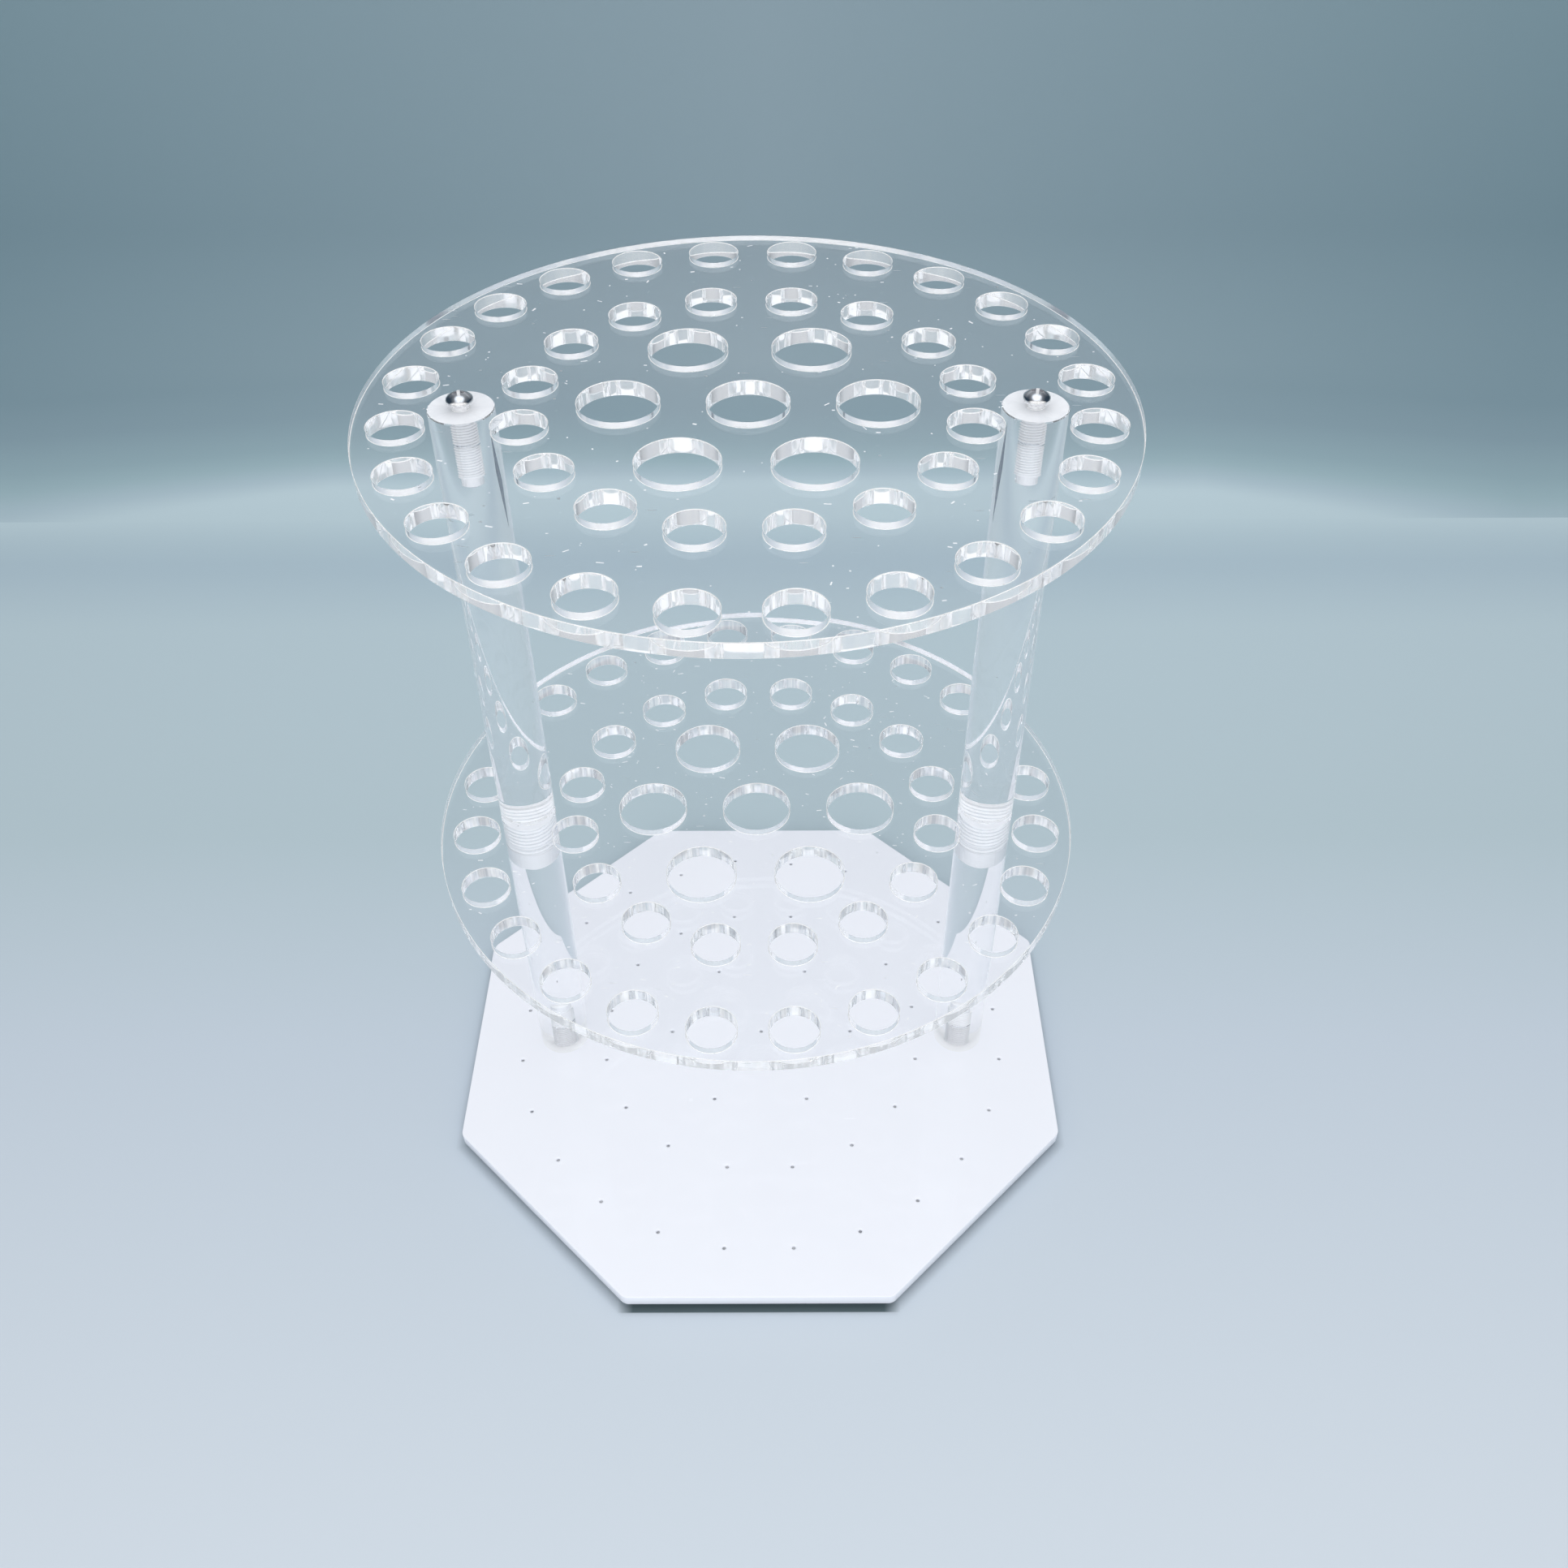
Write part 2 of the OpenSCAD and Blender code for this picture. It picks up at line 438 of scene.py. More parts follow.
@dataclass(frozen=True)
class CutAcrylic:
    """A laser-cut wall: clear, with fine striations along the beam.  It reads the cut map.

    The broad bands show on the side towards the air, and not through the sheet.
    """

    name: str
    colour: Colour = (1.0, 1.0, 1.0)
    roughness: float = 0.04
    clear_share: float = 0.78
    line_scale: Point3 = (1900.0, 50.0, 1.0)
    line_depth: float = 0.005 * MM
    band_scale: Point3 = (620.0, 20.0, 1.0)
    band_ends: Point2 = (0.42, 0.6)
    band_colour: Colour = (0.94, 0.95, 0.97)
    lamp_tint: Colour = (0.975, 0.98, 0.985)

    def make(self) -> Material:
        """Builds the material.

        Returns:
            The material.
        """
        surface = Surface(self.name, IOR=ACRYLIC_IOR, Roughness=self.roughness)
        lay = surface.add("ShaderNodeUVMap", uv_map=CUT_MAP).outputs[0]
        patterns = []
        for scale in (self.line_scale, self.band_scale):
            drawn = surface.add("ShaderNodeMapping", {"Vector": lay, "Scale": scale})
            patterns.append(surface.noise(drawn.outputs[0], 1.0, 2.0))
        lines, bands = patterns
        inside = surface.add("ShaderNodeNewGeometry").outputs["Backfacing"]
        plain = surface.math("MAXIMUM", surface.stretch(bands, *self.band_ends), inside)
        surface.set(
            Base_Color=surface.blend(plain, self.band_colour, self.colour),
            Transmission_Weight=self.clear_share,
            Normal=surface.bump(lines, self.line_depth),
        )
        return surface.pass_lamps(self.lamp_tint)


@dataclass(frozen=True)
class FrostedAcrylic:
    """Sawn, drilled, melted or tapped acrylic: the tool leaves it white and dull.

    A tapped one reads the thread map and gets painted shade: darker lines at both ends of its first
    number, along the thread's roots and crests.
    """

    name: str
    colour: Colour = (0.93, 0.95, 0.99)
    dim_share: float = 0.9
    roughness: float = 0.5
    roughness_spread: float = 0.2
    clear_share: float = 0.5
    grain_scale: float = 2200.0
    patch_scale: float = 260.0
    patch_ends: Point2 = (0.3, 0.7)
    grain_depth: float = 0.01 * MM
    # Strength of the painted shade lines along the threads.
    painted_thread_shade: float = 0.0
    line_ends: Point2 = (0.62, 0.95)
    lamp_tint: Colour = (0.985, 0.988, 0.99)

    def make(self) -> Material:
        """Builds the material.

        Returns:
            The material.
        """
        surface = Surface(self.name, IOR=ACRYLIC_IOR, Specular_IOR_Level=0.0)
        grain = surface.effect("grain", Scale=self.grain_scale, Patch_Scale=self.patch_scale)
        patches = grain["Patches"]
        colour = surface.blend(patches, dimmed(self.colour, self.dim_share), self.colour)
        if self.painted_thread_shade:
            colour = self._thread_shaded(surface, colour)
        rough = [self.roughness * (1.0 + way * self.roughness_spread) for way in (-1, 1)]
        surface.set(
            Base_Color=colour,
            Transmission_Weight=self.clear_share,
            Roughness=surface.stretch(patches, *self.patch_ends, *rough),
            Normal=surface.bump(grain["Grain"], self.grain_depth),
        )
        return surface.pass_lamps(self.lamp_tint)

    def _thread_shaded(self, surface: Surface, colour: Socket) -> Socket:
        """Paints shade on a colour: darker lines at the roots and the crests of a thread.

        Args:
            surface: the material.
            colour: the colour between them.

        Returns:
            The lined colour's socket.
        """
        lay = surface.add("ShaderNodeUVMap", uv_map=THREAD_MAP).outputs[0]
        share = surface.add("ShaderNodeSeparateXYZ", {0: lay}).outputs[0]
        middle = surface.math("SUBTRACT", surface.math("MULTIPLY", share, 2.0), 1.0)
        away = surface.math("ABSOLUTE", middle)
        # Painted shade: darker lines near the thread's roots and crests.
        line = surface.stretch(away, *self.line_ends, 0.0, self.painted_thread_shade)
        return surface.blend(line, colour, dimmed(self.colour, 1.0 - self.painted_thread_shade))


@dataclass(frozen=True)
class OpalSheet:
    """Glossy opal white sheet, with faint mottling below its gloss and a few marks on it."""

    name: str = "opal_sheet"
    colour: Colour = (0.87, 0.896, 0.978)
    dim_share: float = 0.975
    roughness: float = 0.035
    speck_scale: float = 70.0
    scuff_scale: float = 40.0
    mark_roughness: float = 0.4
    wave_scale: float = 14.0
    wave_depth: float = 0.03 * MM
    patch_scale: float = 25.0
    soft_share: float = 0.15
    soft_reach: float = 2.0 * MM

    def make(self) -> Material:
        """Builds the material.

        Returns:
            The material.
        """
        surface = Surface(self.name, IOR=ACRYLIC_IOR, Subsurface_Weight=self.soft_share)
        scales = dict(Speck_Scale=self.speck_scale, Scuff_Scale=self.scuff_scale)
        marks = surface.effect("handling", **scales)["Mask"]
        wave = surface.effect("waviness", Scale=self.wave_scale)["Height"]
        patches = surface.effect("grain", Patch_Scale=self.patch_scale)["Patches"]
        surface.set(
            Base_Color=surface.blend(patches, self.colour, dimmed(self.colour, self.dim_share)),
            Subsurface_Radius=(1.0, 1.0, 1.0),
            Subsurface_Scale=self.soft_reach,
            Roughness=surface.stretch(marks, 0.0, 1.0, self.roughness, self.mark_roughness),
            Normal=surface.bump(wave, self.wave_depth),
        )
        return surface.material


@dataclass(frozen=True)
class Grained:
    """An opaque finish of two colours in patches, with a fine grain: steel, rubber or painted pit
    shade.
    """

    name: str
    colour: Colour
    worn_colour: Colour
    metallic: float = 0.0
    roughness: float = 0.8
    worn_roughness: float = 0.8
    worn_ends: Point2 = (0.35, 0.65)
    grain_scale: float = 3000.0
    patch_scale: float = 900.0
    grain_depth: float = 0.0

    def make(self) -> Material:
        """Builds the material.

        Returns:
            The material.
        """
        surface = Surface(self.name, Metallic=self.metallic, Roughness=self.roughness)
        grain = surface.effect("grain", Scale=self.grain_scale, Patch_Scale=self.patch_scale)
        worn = surface.stretch(grain["Patches"], *self.worn_ends)
        surface.set(Base_Color=surface.blend(worn, self.colour, self.worn_colour))
        if self.worn_roughness != self.roughness:
            ends = (self.roughness, self.worn_roughness)
            surface.set(Roughness=surface.stretch(worn, 0.0, 1.0, *ends))
        if self.grain_depth:
            surface.set(Normal=surface.bump(grain["Grain"], self.grain_depth))
        return surface.material


@dataclass(frozen=True)
class Finishes:
    """Every material of the stand, made once."""

    clear_sheet: Material
    clear_rod: Material
    cut: Material
    dull_cut: Material
    rim: Material
    melted: Material
    sawn: Material
    faced: Material
    tapped: Material
    opal: Material
    grime: Material
    swarf: Material
    steel: Material
    rubber: Material

    @classmethod
    def make(cls) -> "Finishes":
        """Builds all the materials.

        Returns:
            The materials, each by its use.
        """
        looks = dict(
            clear_sheet=ClearAcrylic("clear_sheet"),
            clear_rod=ClearAcrylic(
                "clear_rod", marks=0.6, wave_scale=30.0, wave_depth=0.01 * MM, haze=0.03
            ),
            cut=CutAcrylic("cut_acrylic"),
            dull_cut=CutAcrylic(
                "dull_cut_acrylic", clear_share=0.7, band_colour=(0.7, 0.73, 0.78)
            ),
            rim=CutAcrylic("rim_acrylic"),
            melted=FrostedAcrylic(
                "melted_edge", colour=(1.0, 1.0, 1.0), clear_share=0.3, roughness=0.3
            ),
            sawn=FrostedAcrylic("sawn_acrylic", clear_share=0.1, roughness=0.6),
            faced=FrostedAcrylic("faced_acrylic", clear_share=0.45, roughness=0.3),
            # Tapped walls carry painted shade lines along their threads.
            tapped=FrostedAcrylic(
                "tapped_acrylic", clear_share=0.2, roughness=0.4, painted_thread_shade=0.5
            ),
            opal=OpalSheet(),
            # Painted shade: a dark grey laid on the bottoms of the base's dimples in place of the
            # shadow in each pit.
            grime=Grained("dimple_painted_shade", (0.3, 0.31, 0.33), (0.52, 0.53, 0.55)),
            swarf=Grained("acrylic_swarf", (0.9, 0.92, 0.95), (0.7, 0.74, 0.8)),
            steel=Grained(
                "screw_steel",
                colour=(0.87, 0.87, 0.88),
                worn_colour=(0.72, 0.72, 0.73),
                metallic=1.0,
                roughness=0.07,
                worn_roughness=0.2,
                worn_ends=(0.45, 0.7),
                grain_scale=4000.0,
                grain_depth=0.004 * MM,
            ),
            rubber=Grained(
                "foot_rubber",
                colour=(0.035, 0.037, 0.04),
                worn_colour=(0.09, 0.095, 0.1),
                roughness=0.75,
                worn_roughness=0.9,
                worn_ends=(0.45, 0.75),
                grain_scale=1800.0,
                patch_scale=350.0,
                grain_depth=0.04 * MM,
            ),
        )
        return cls(**{use: look.make() for use, look in looks.items()})


# ---------------------------------------------------------------------------------------
# Mesh making
# ---------------------------------------------------------------------------------------


@dataclass(frozen=True)
class Groove:
    """A screw thread on a turned surface: where it runs, its outer radius, depth and pitch.

    The phase is counted from the frame's own z = 0, so that a screw and its hole mesh.
    """

    low: float
    high: float
    radius: float
    depth: float
    pitch: float

    def stations(self) -> List[float]:
        """The heights at which the turned profile needs a ring, from low to high."""
        count = max(2, round((self.high - self.low) / self.pitch * GROOVE_RINGS))
        return [self.low + (self.high - self.low) * i / count for i in range(count + 1)]

    def holds(self, radius: float, height: float) -> bool:
        """Whether a point at a radius and height lies on this thread, cut or not yet cut."""
        level = self.low - MERGE < height < self.high + MERGE
        return level and self.radius - self.depth - NEAR < radius < self.radius + NEAR

    def share_at(self, radius: float) -> float:
        """How far a radius is from the thread's root, 0, to its crest, 1."""
        return min(1.0, max(0.0, 1.0 - (self.radius - radius) / self.depth))

    def radius_at(self, angle: float, height: float) -> float:
        """The thread's radius at one point.

        Args:
            angle: the point's angle round the axis.
            height: its height along the axis.

        Returns:
            The radius, which runs out to the full one at both ends of the thread.
        """
        turn = (height / self.pitch - angle / FULL_TURN) % 1.0
        wave = 1.0 - abs(2.0 * turn - 1.0)
        run_out = min(1.0, (height - self.low) / self.pitch, (self.high - height) / self.pitch)
        return self.radius - self.depth * (1.0 - wave) * max(0.0, run_out)


@dataclass(frozen=True)
class ThreadForm:
    """A screw thread's outer diameter, its depth and its pitch."""

    across: float
    depth: float
    pitch: float

    @property
    def root(self) -> float:
        """The radius at the thread's root, which is its drill's."""
        return self.across / 2 - self.depth

    def groove(self, low: float, high: float, gap: float = 0.0) -> Groove:
        """The thread between two heights, wider by a gap on each side in a hole."""
        return Groove(low, high, self.across / 2 + gap, self.depth, self.pitch)


SCREW_THREAD = ThreadForm(5.0 * MM, 0.4 * MM, 0.9 * MM)
SPIGOT_THREAD = ThreadForm(13.6 * MM, 0.9 * MM, 1.75 * MM)


def spun(profile: Profile, segments: int) -> Mesh:
    """Turns a profile about the Z axis.

    Args:
        profile: the points to turn, as (radius, height).
        segments: steps in the full turn.

    Returns:
        The turned mesh.
    """
    mesh = bmesh.new()
    dots = [mesh.verts.new((r, 0.0, z)) for r, z in profile]
    lines = [mesh.edges.new(pair) for pair in zip(dots, dots[1:])]
    bmesh.ops.spin(
        mesh,
        geom=[*dots, *lines],
        cent=(0.0, 0.0, 0.0),
        axis=(0.0, 0.0, 1.0),
        dvec=(0.0, 0.0, 0.0),
        angle=FULL_TURN,
        steps=segments,
        use_merge=True,
        use_normal_flip=False,
        use_duplicate=False,
    )
    return mesh


def repeated(
    mesh: Mesh, profile: Profile, segments: int, centres: Sequence[Point2]
) -> List[Tuple[Point2, Faces]]:
    """Turns a profile once and copies the result to several places.

    Args:
        mesh: the mesh to add to.
        profile: the points to turn, as (radius, height).
        segments: steps in the full turn.
        centres: where each copy's axis stands.

    Returns:
        Each place with the faces that were added there.
    """
    shape = spun(profile, segments)
    bmesh.ops.remove_doubles(shape, verts=shape.verts, dist=MERGE)
    data = bpy.data.meshes.new("copied")
    shape.to_mesh(data)
    shape.free()
    made = []
    for x, y in centres:
        before = len(mesh.faces)
        data.transform(Matrix.Translation((x, y, 0.0)))
        mesh.from_mesh(data)
        data.transform(Matrix.Translation((-x, -y, 0.0)))
        mesh.faces.ensure_lookup_table()
        made.append(((x, y), mesh.faces[before:]))
    bpy.data.meshes.remove(data)
    return made


def cut_threads(mesh: Mesh, grooves: Sequence[Groove]) -> None:
    """Moves the rings of a turned piece on the Z axis in to their screw threads.

    Args:
        mesh: the turned piece.
        grooves: its threads.
    """
    for dot in mesh.verts:
        radius = math.hypot(dot.co.x, dot.co.y)
        for groove in grooves:
            level = groove.low - MERGE < dot.co.z < groove.high + MERGE
            if level and abs(radius - groove.radius) < NEAR:
                angle = math.atan2(dot.co.y, dot.co.x)
                share = groove.radius_at(angle, dot.co.z) / radius
                dot.co.x *= share
                dot.co.y *= share
                break


def filled(mesh: Mesh, heights: Iterable[float]) -> None:
    """Fills the open loops at each height with a flat face that leaves the holes open.

    Args:
        mesh: the mesh, with open loops at those heights.
        heights: the loops' heights.
    """
    bmesh.ops.remove_doubles(mesh, verts=mesh.verts, dist=MERGE)
    for height in heights:
        open_edges = [e for e in mesh.edges if e.is_boundary]
        rim = [e for e in open_edges if all(abs(v.co.z - height) < MERGE for v in e.verts)]
        bmesh.ops.triangle_fill(
            mesh, use_beauty=True, use_dissolve=False, edges=rim, normal=(0.0, 0.0, 1.0)
        )


def lay_map(mesh: Mesh, faces: Faces, centre: Point2, radius: float) -> None:
    """Writes the cut map on a round wall: the way round it, then the height, in metres.

    Args:
        mesh: the mesh that holds the wall.
        faces: the wall's faces.
        centre: where its axis stands, which also shifts the map, so that no two walls match.
        radius: its radius.
    """
    layer = mesh.loops.layers.uv.get(CUT_MAP) or mesh.loops.layers.uv.new(CUT_MAP)
    for face in faces:
        middle = face.calc_center_median()
        base = math.atan2(middle.y - centre[1], middle.x - centre[0])
        for loop in face.loops:
            spot = loop.vert.co
            angle = math.atan2(spot.y - centre[1], spot.x - centre[0])
            angle += FULL_TURN * round((base - angle) / FULL_TURN)
            along = angle * radius + centre[0] * CUT_MAP_SHIFT
            loop[layer].uv = (along, spot.z + centre[1] * CUT_MAP_SHIFT)


def mark_sharp(mesh: Mesh) -> None:
    """Keeps the shading crisp along open edges and wherever the surface turns sharply."""
    for edge in mesh.edges:
        edge.smooth = len(edge.link_faces) == 2 and edge.calc_face_angle(0.0) < SHARP_ANGLE


def linked(name: str, data: Any) -> Piece:
    """Puts a new object in the scene.

    Args:
        name: the object's name.
        data: the mesh, camera or lamp that it holds.

    Returns:
        The new object.
    """
    made = bpy.data.objects.new(name, data)
    bpy.context.scene.collection.objects.link(made)
    return made


def as_object(mesh: Mesh, name: str, materials: Sequence[Material] = ()) -> Piece:
    """Makes an object of a mesh.

    Args:
        mesh: the mesh, freed here.
        name: the object's name.
        materials: its materials, in the order of its faces' material numbers.

    Returns:
        The new object.
    """
    data = bpy.data.meshes.new(name)
    mesh.to_mesh(data)
    mesh.free()
    for material in materials:
        data.materials.append(material)
    return linked(name, data)


def finished(
    mesh: Mesh, name: str, materials: Sequence[Material], place: Point2, node: str
) -> Piece:
    """Closes a mesh, shades it, and makes it a piece that stands for its solid.

    Args:
        mesh: the mesh, freed here.
        name: the piece's name.
        materials: its materials, in the order of its faces' material numbers.
        place: where its axis stands in the frame; it is moved in the mesh.
        node: the solid that it stands for.

    Returns:
        The new object.
    """
    bmesh.ops.remove_doubles(mesh, verts=mesh.verts, dist=MERGE)
    bmesh.ops.dissolve_degenerate(mesh, dist=SLIVER, edges=mesh.edges)
    bmesh.ops.translate(mesh, verts=mesh.verts, vec=(*place, 0.0))
    bmesh.ops.recalc_face_normals(mesh, faces=mesh.faces)
    mesh.normal_update()
    for face in mesh.faces:
        face.smooth = abs(face.normal.z) < LEVEL
    mark_sharp(mesh)
    open_edges = sum(1 for edge in mesh.edges if not edge.is_manifold)
    piece = as_object(mesh, name, materials)
    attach(piece, BODY)
    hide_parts(node)
    log.info("%s: %d faces, %d open edges", name, len(piece.data.polygons), open_edges)
    return piece


def carved(piece: Piece, cutter: Mesh) -> None:
    """Cuts a closed shape out of a piece.

    Args:
        piece: the piece, whose mesh is replaced by the result.
        cutter: the shape, freed here.
    """
    bmesh.ops.recalc_face_normals(cutter, faces=cutter.faces)
    tool = as_object(cutter, "cutter")
    modifier = piece.modifiers.new("recess", "BOOLEAN")
    modifier.operation, modifier.solver = "DIFFERENCE", "EXACT"
    modifier.use_self, modifier.object = True, tool
    graph = bpy.context.evaluated_depsgraph_get()
    result = bpy.data.meshes.new_from_object(piece.evaluated_get(graph))
    piece.modifiers.clear()
    spent = (piece.data, tool.data)
    piece.data = result
    bpy.data.objects.remove(tool)
    for data in spent:
        bpy.data.meshes.remove(data)
    shape = bmesh.new()
    shape.from_mesh(result)
    bmesh.ops.remove_doubles(shape, verts=shape.verts, dist=MERGE)
    mark_sharp(shape)
    shape.to_mesh(result)
    shape.free()
    log.info("%s: %d faces after the recess", piece.name, len(result.polygons))


def arc(centre: Point2, radius: float, start: float, end: float, steps: int) -> Profile:
    """Points along an arc, from one angle in degrees to another."""
    angles = [math.radians(start + (end - start) * i / steps) for i in range(steps + 1)]
    return [(centre[0] + radius * math.cos(a), centre[1] + radius * math.sin(a)) for a in angles]


def levels(node: str) -> Point2:
    """The heights of a solid's lowest and highest points."""
    low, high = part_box(node)
    return low.z, high.z


# ---------------------------------------------------------------------------------------
# The stand
# ---------------------------------------------------------------------------------------


@dataclass(frozen=True)
class HoleRing:
    """A ring of equal holes: its radius, how many, the first one's angle, and their diameter."""

    radius: float
    count: int
    first: float
    across: float

    def centres(self) -> List[Point2]:
        """Places the holes.

        Returns:
            Each hole's centre, from the first one round.
        """
        step, first = FULL_TURN / self.count, math.radians(self.first)
        angles = [first + i * step for i in range(self.count)]
        return [(self.radius * math.cos(a), self.radius * math.sin(a)) for a in angles]


@dataclass
class Pattern:
    """The pipette positions, which both discs and the base's dimples share."""

    small_across: float = 16.5 * MM
    large_across: float = 24.5 * MM
    outer_radius: float = 102.25 * MM
    second_radius: float = 67.0 * MM
    inner_radius: float = 38.25 * MM

    def rings(self) -> List[HoleRing]:
        """Lists the rings.

        Returns:
            The rings, from the rim inwards, with the centre hole last.
        """
        return [
            HoleRing(self.outer_radius, 24, 7.5, self.small_across),
            HoleRing(self.second_radius, 16, 11.25, self.small_across),
            HoleRing(self.inner_radius, 6, 0.0, self.large_across),
            HoleRing(0.0, 1, 0.0, self.large_across),
        ]

    def rod_place(self, side: Side) -> Point2:
        """Where a rod's axis stands: midway between the two outer rings."""
        return (side.value * (self.outer_radius + self.second_radius) / 2, 0.0)

    def rod_places(self) -> List[Point2]:
        """Where both rods' axes stand."""
        return [self.rod_place(side) for side in Side]


@dataclass
class Disc:
    """A clear disc with its holes, cut through by laser and left with a hair of melted edge."""

    node: str
    rod_hole: float
    pattern: Pattern
    finishes: Finishes
    cut: Material
    across: float = 230.0 * MM
    melt: float = 0.18 * MM
    rim_segments: int = 288
    small_segments: int = 64
    large_segments: int = 96
    flecks: int = 130
    fleck_seed: int = 5
    fleck_length: Point2 = (0.4 * MM, 2.2 * MM)
    fleck_width: float = 0.42 * MM
    fleck_width_ends: Point2 = (0.6, 1.3)
    fleck_height: float = 0.05 * MM
    fleck_rise: float = 0.7
    fleck_turn: float = 0.5

    def build(self) -> None:
        """Builds the disc."""
        ends, looks = levels(self.node), self.finishes
        mesh = bmesh.new()
        self._walls(mesh, ends, [(0.0, 0.0)], self.across, self.rim_segments, DiscFace.RIM)
        for ring in self.pattern.rings():
            large = ring.across == self.pattern.large_across
            segments = self.large_segments if large else self.small_segments
            self._walls(mesh, ends, ring.centres(), ring.across, segments)
        places = self.pattern.rod_places()
        self._walls(mesh, ends, places, self.rod_hole, self.small_segments)
        filled(mesh, ends)
        self._swarf(mesh, ends[1])
        mats = [looks.clear_sheet, self.cut, looks.swarf, looks.melted, looks.rim]
        finished(mesh, f"{self.node}_sheet", mats, (0.0, 0.0), self.node)

    def _swarf(self, mesh: Mesh, level: float) -> None:
        """Scatters small flecks of swarf on the disc's upper face, clear of every hole.

        Args:
            mesh: the disc.
            level: its upper face's height.
        """
        dice = random.Random(self.fleck_seed)
        rings = self.pattern.rings()
        holes = [(x, y, ring.across / 2) for ring in rings for x, y in ring.centres()]
        holes += [(x, y, self.rod_hole) for x, y in self.pattern.rod_places()]
        short, long = self.fleck_length
        left = self.flecks
        while left:
            x, y = (dice.uniform(-self.across / 2, self.across / 2) for _ in range(2))
            clear = all(math.hypot(x - a, y - b) > r + long for a, b, r in holes)
            if not clear or math.hypot(x, y) > self.across / 2 - 2 * long:
                continue
            left -= 1
            length = short + (long - short) * dice.random() ** 3
            width = self.fleck_width * dice.uniform(*self.fleck_width_ends)
            turn = Matrix.Rotation(dice.gauss(0.0, self.fleck_turn), 4, "Z")
            at = Matrix.Translation((x, y, level + self.fleck_height * self.fleck_rise))
            grow = Matrix.Diagonal((length, width, self.fleck_height, 1.0))
            shape = bmesh.ops.create_cube(mesh, size=1.0, matrix=at @ turn @ grow)
            for face in {f for v in shape["verts"] for f in v.link_faces}:
                face.material_index = DiscFace.FLECK

    def _walls(
        self,
        mesh: Mesh,
        ends: Point2,
        centres: Sequence[Point2],
        across: float,
        segments: int,
        kind: DiscFace = DiscFace.HOLE,
    ) -> None:
        """Adds equal cut walls, with both edges of each rolled over by the melt.

        Args:
            mesh: the mesh to add to.
            ends: the heights of the two faces.
            centres: where the walls' axes stand.
            across: the walls' diameter.
            segments: steps round each wall.
            kind: whether they are holes or the rim.
        """
        low, high = ends
        radius = across / 2
        edge = radius + (self.melt if kind is DiscFace.HOLE else -self.melt)
        profile = [(edge, low), (radius, low + self.melt), (radius, high - self.melt), (edge, high)]
        for centre, faces in repeated(mesh, profile, segments, centres):
            for face in faces:
                rolled = any(min(v.co.z - low, high - v.co.z) < MERGE for v in face.verts)
                face.material_index = DiscFace.MELT if rolled else kind
            lay_map(mesh, faces, centre, radius)


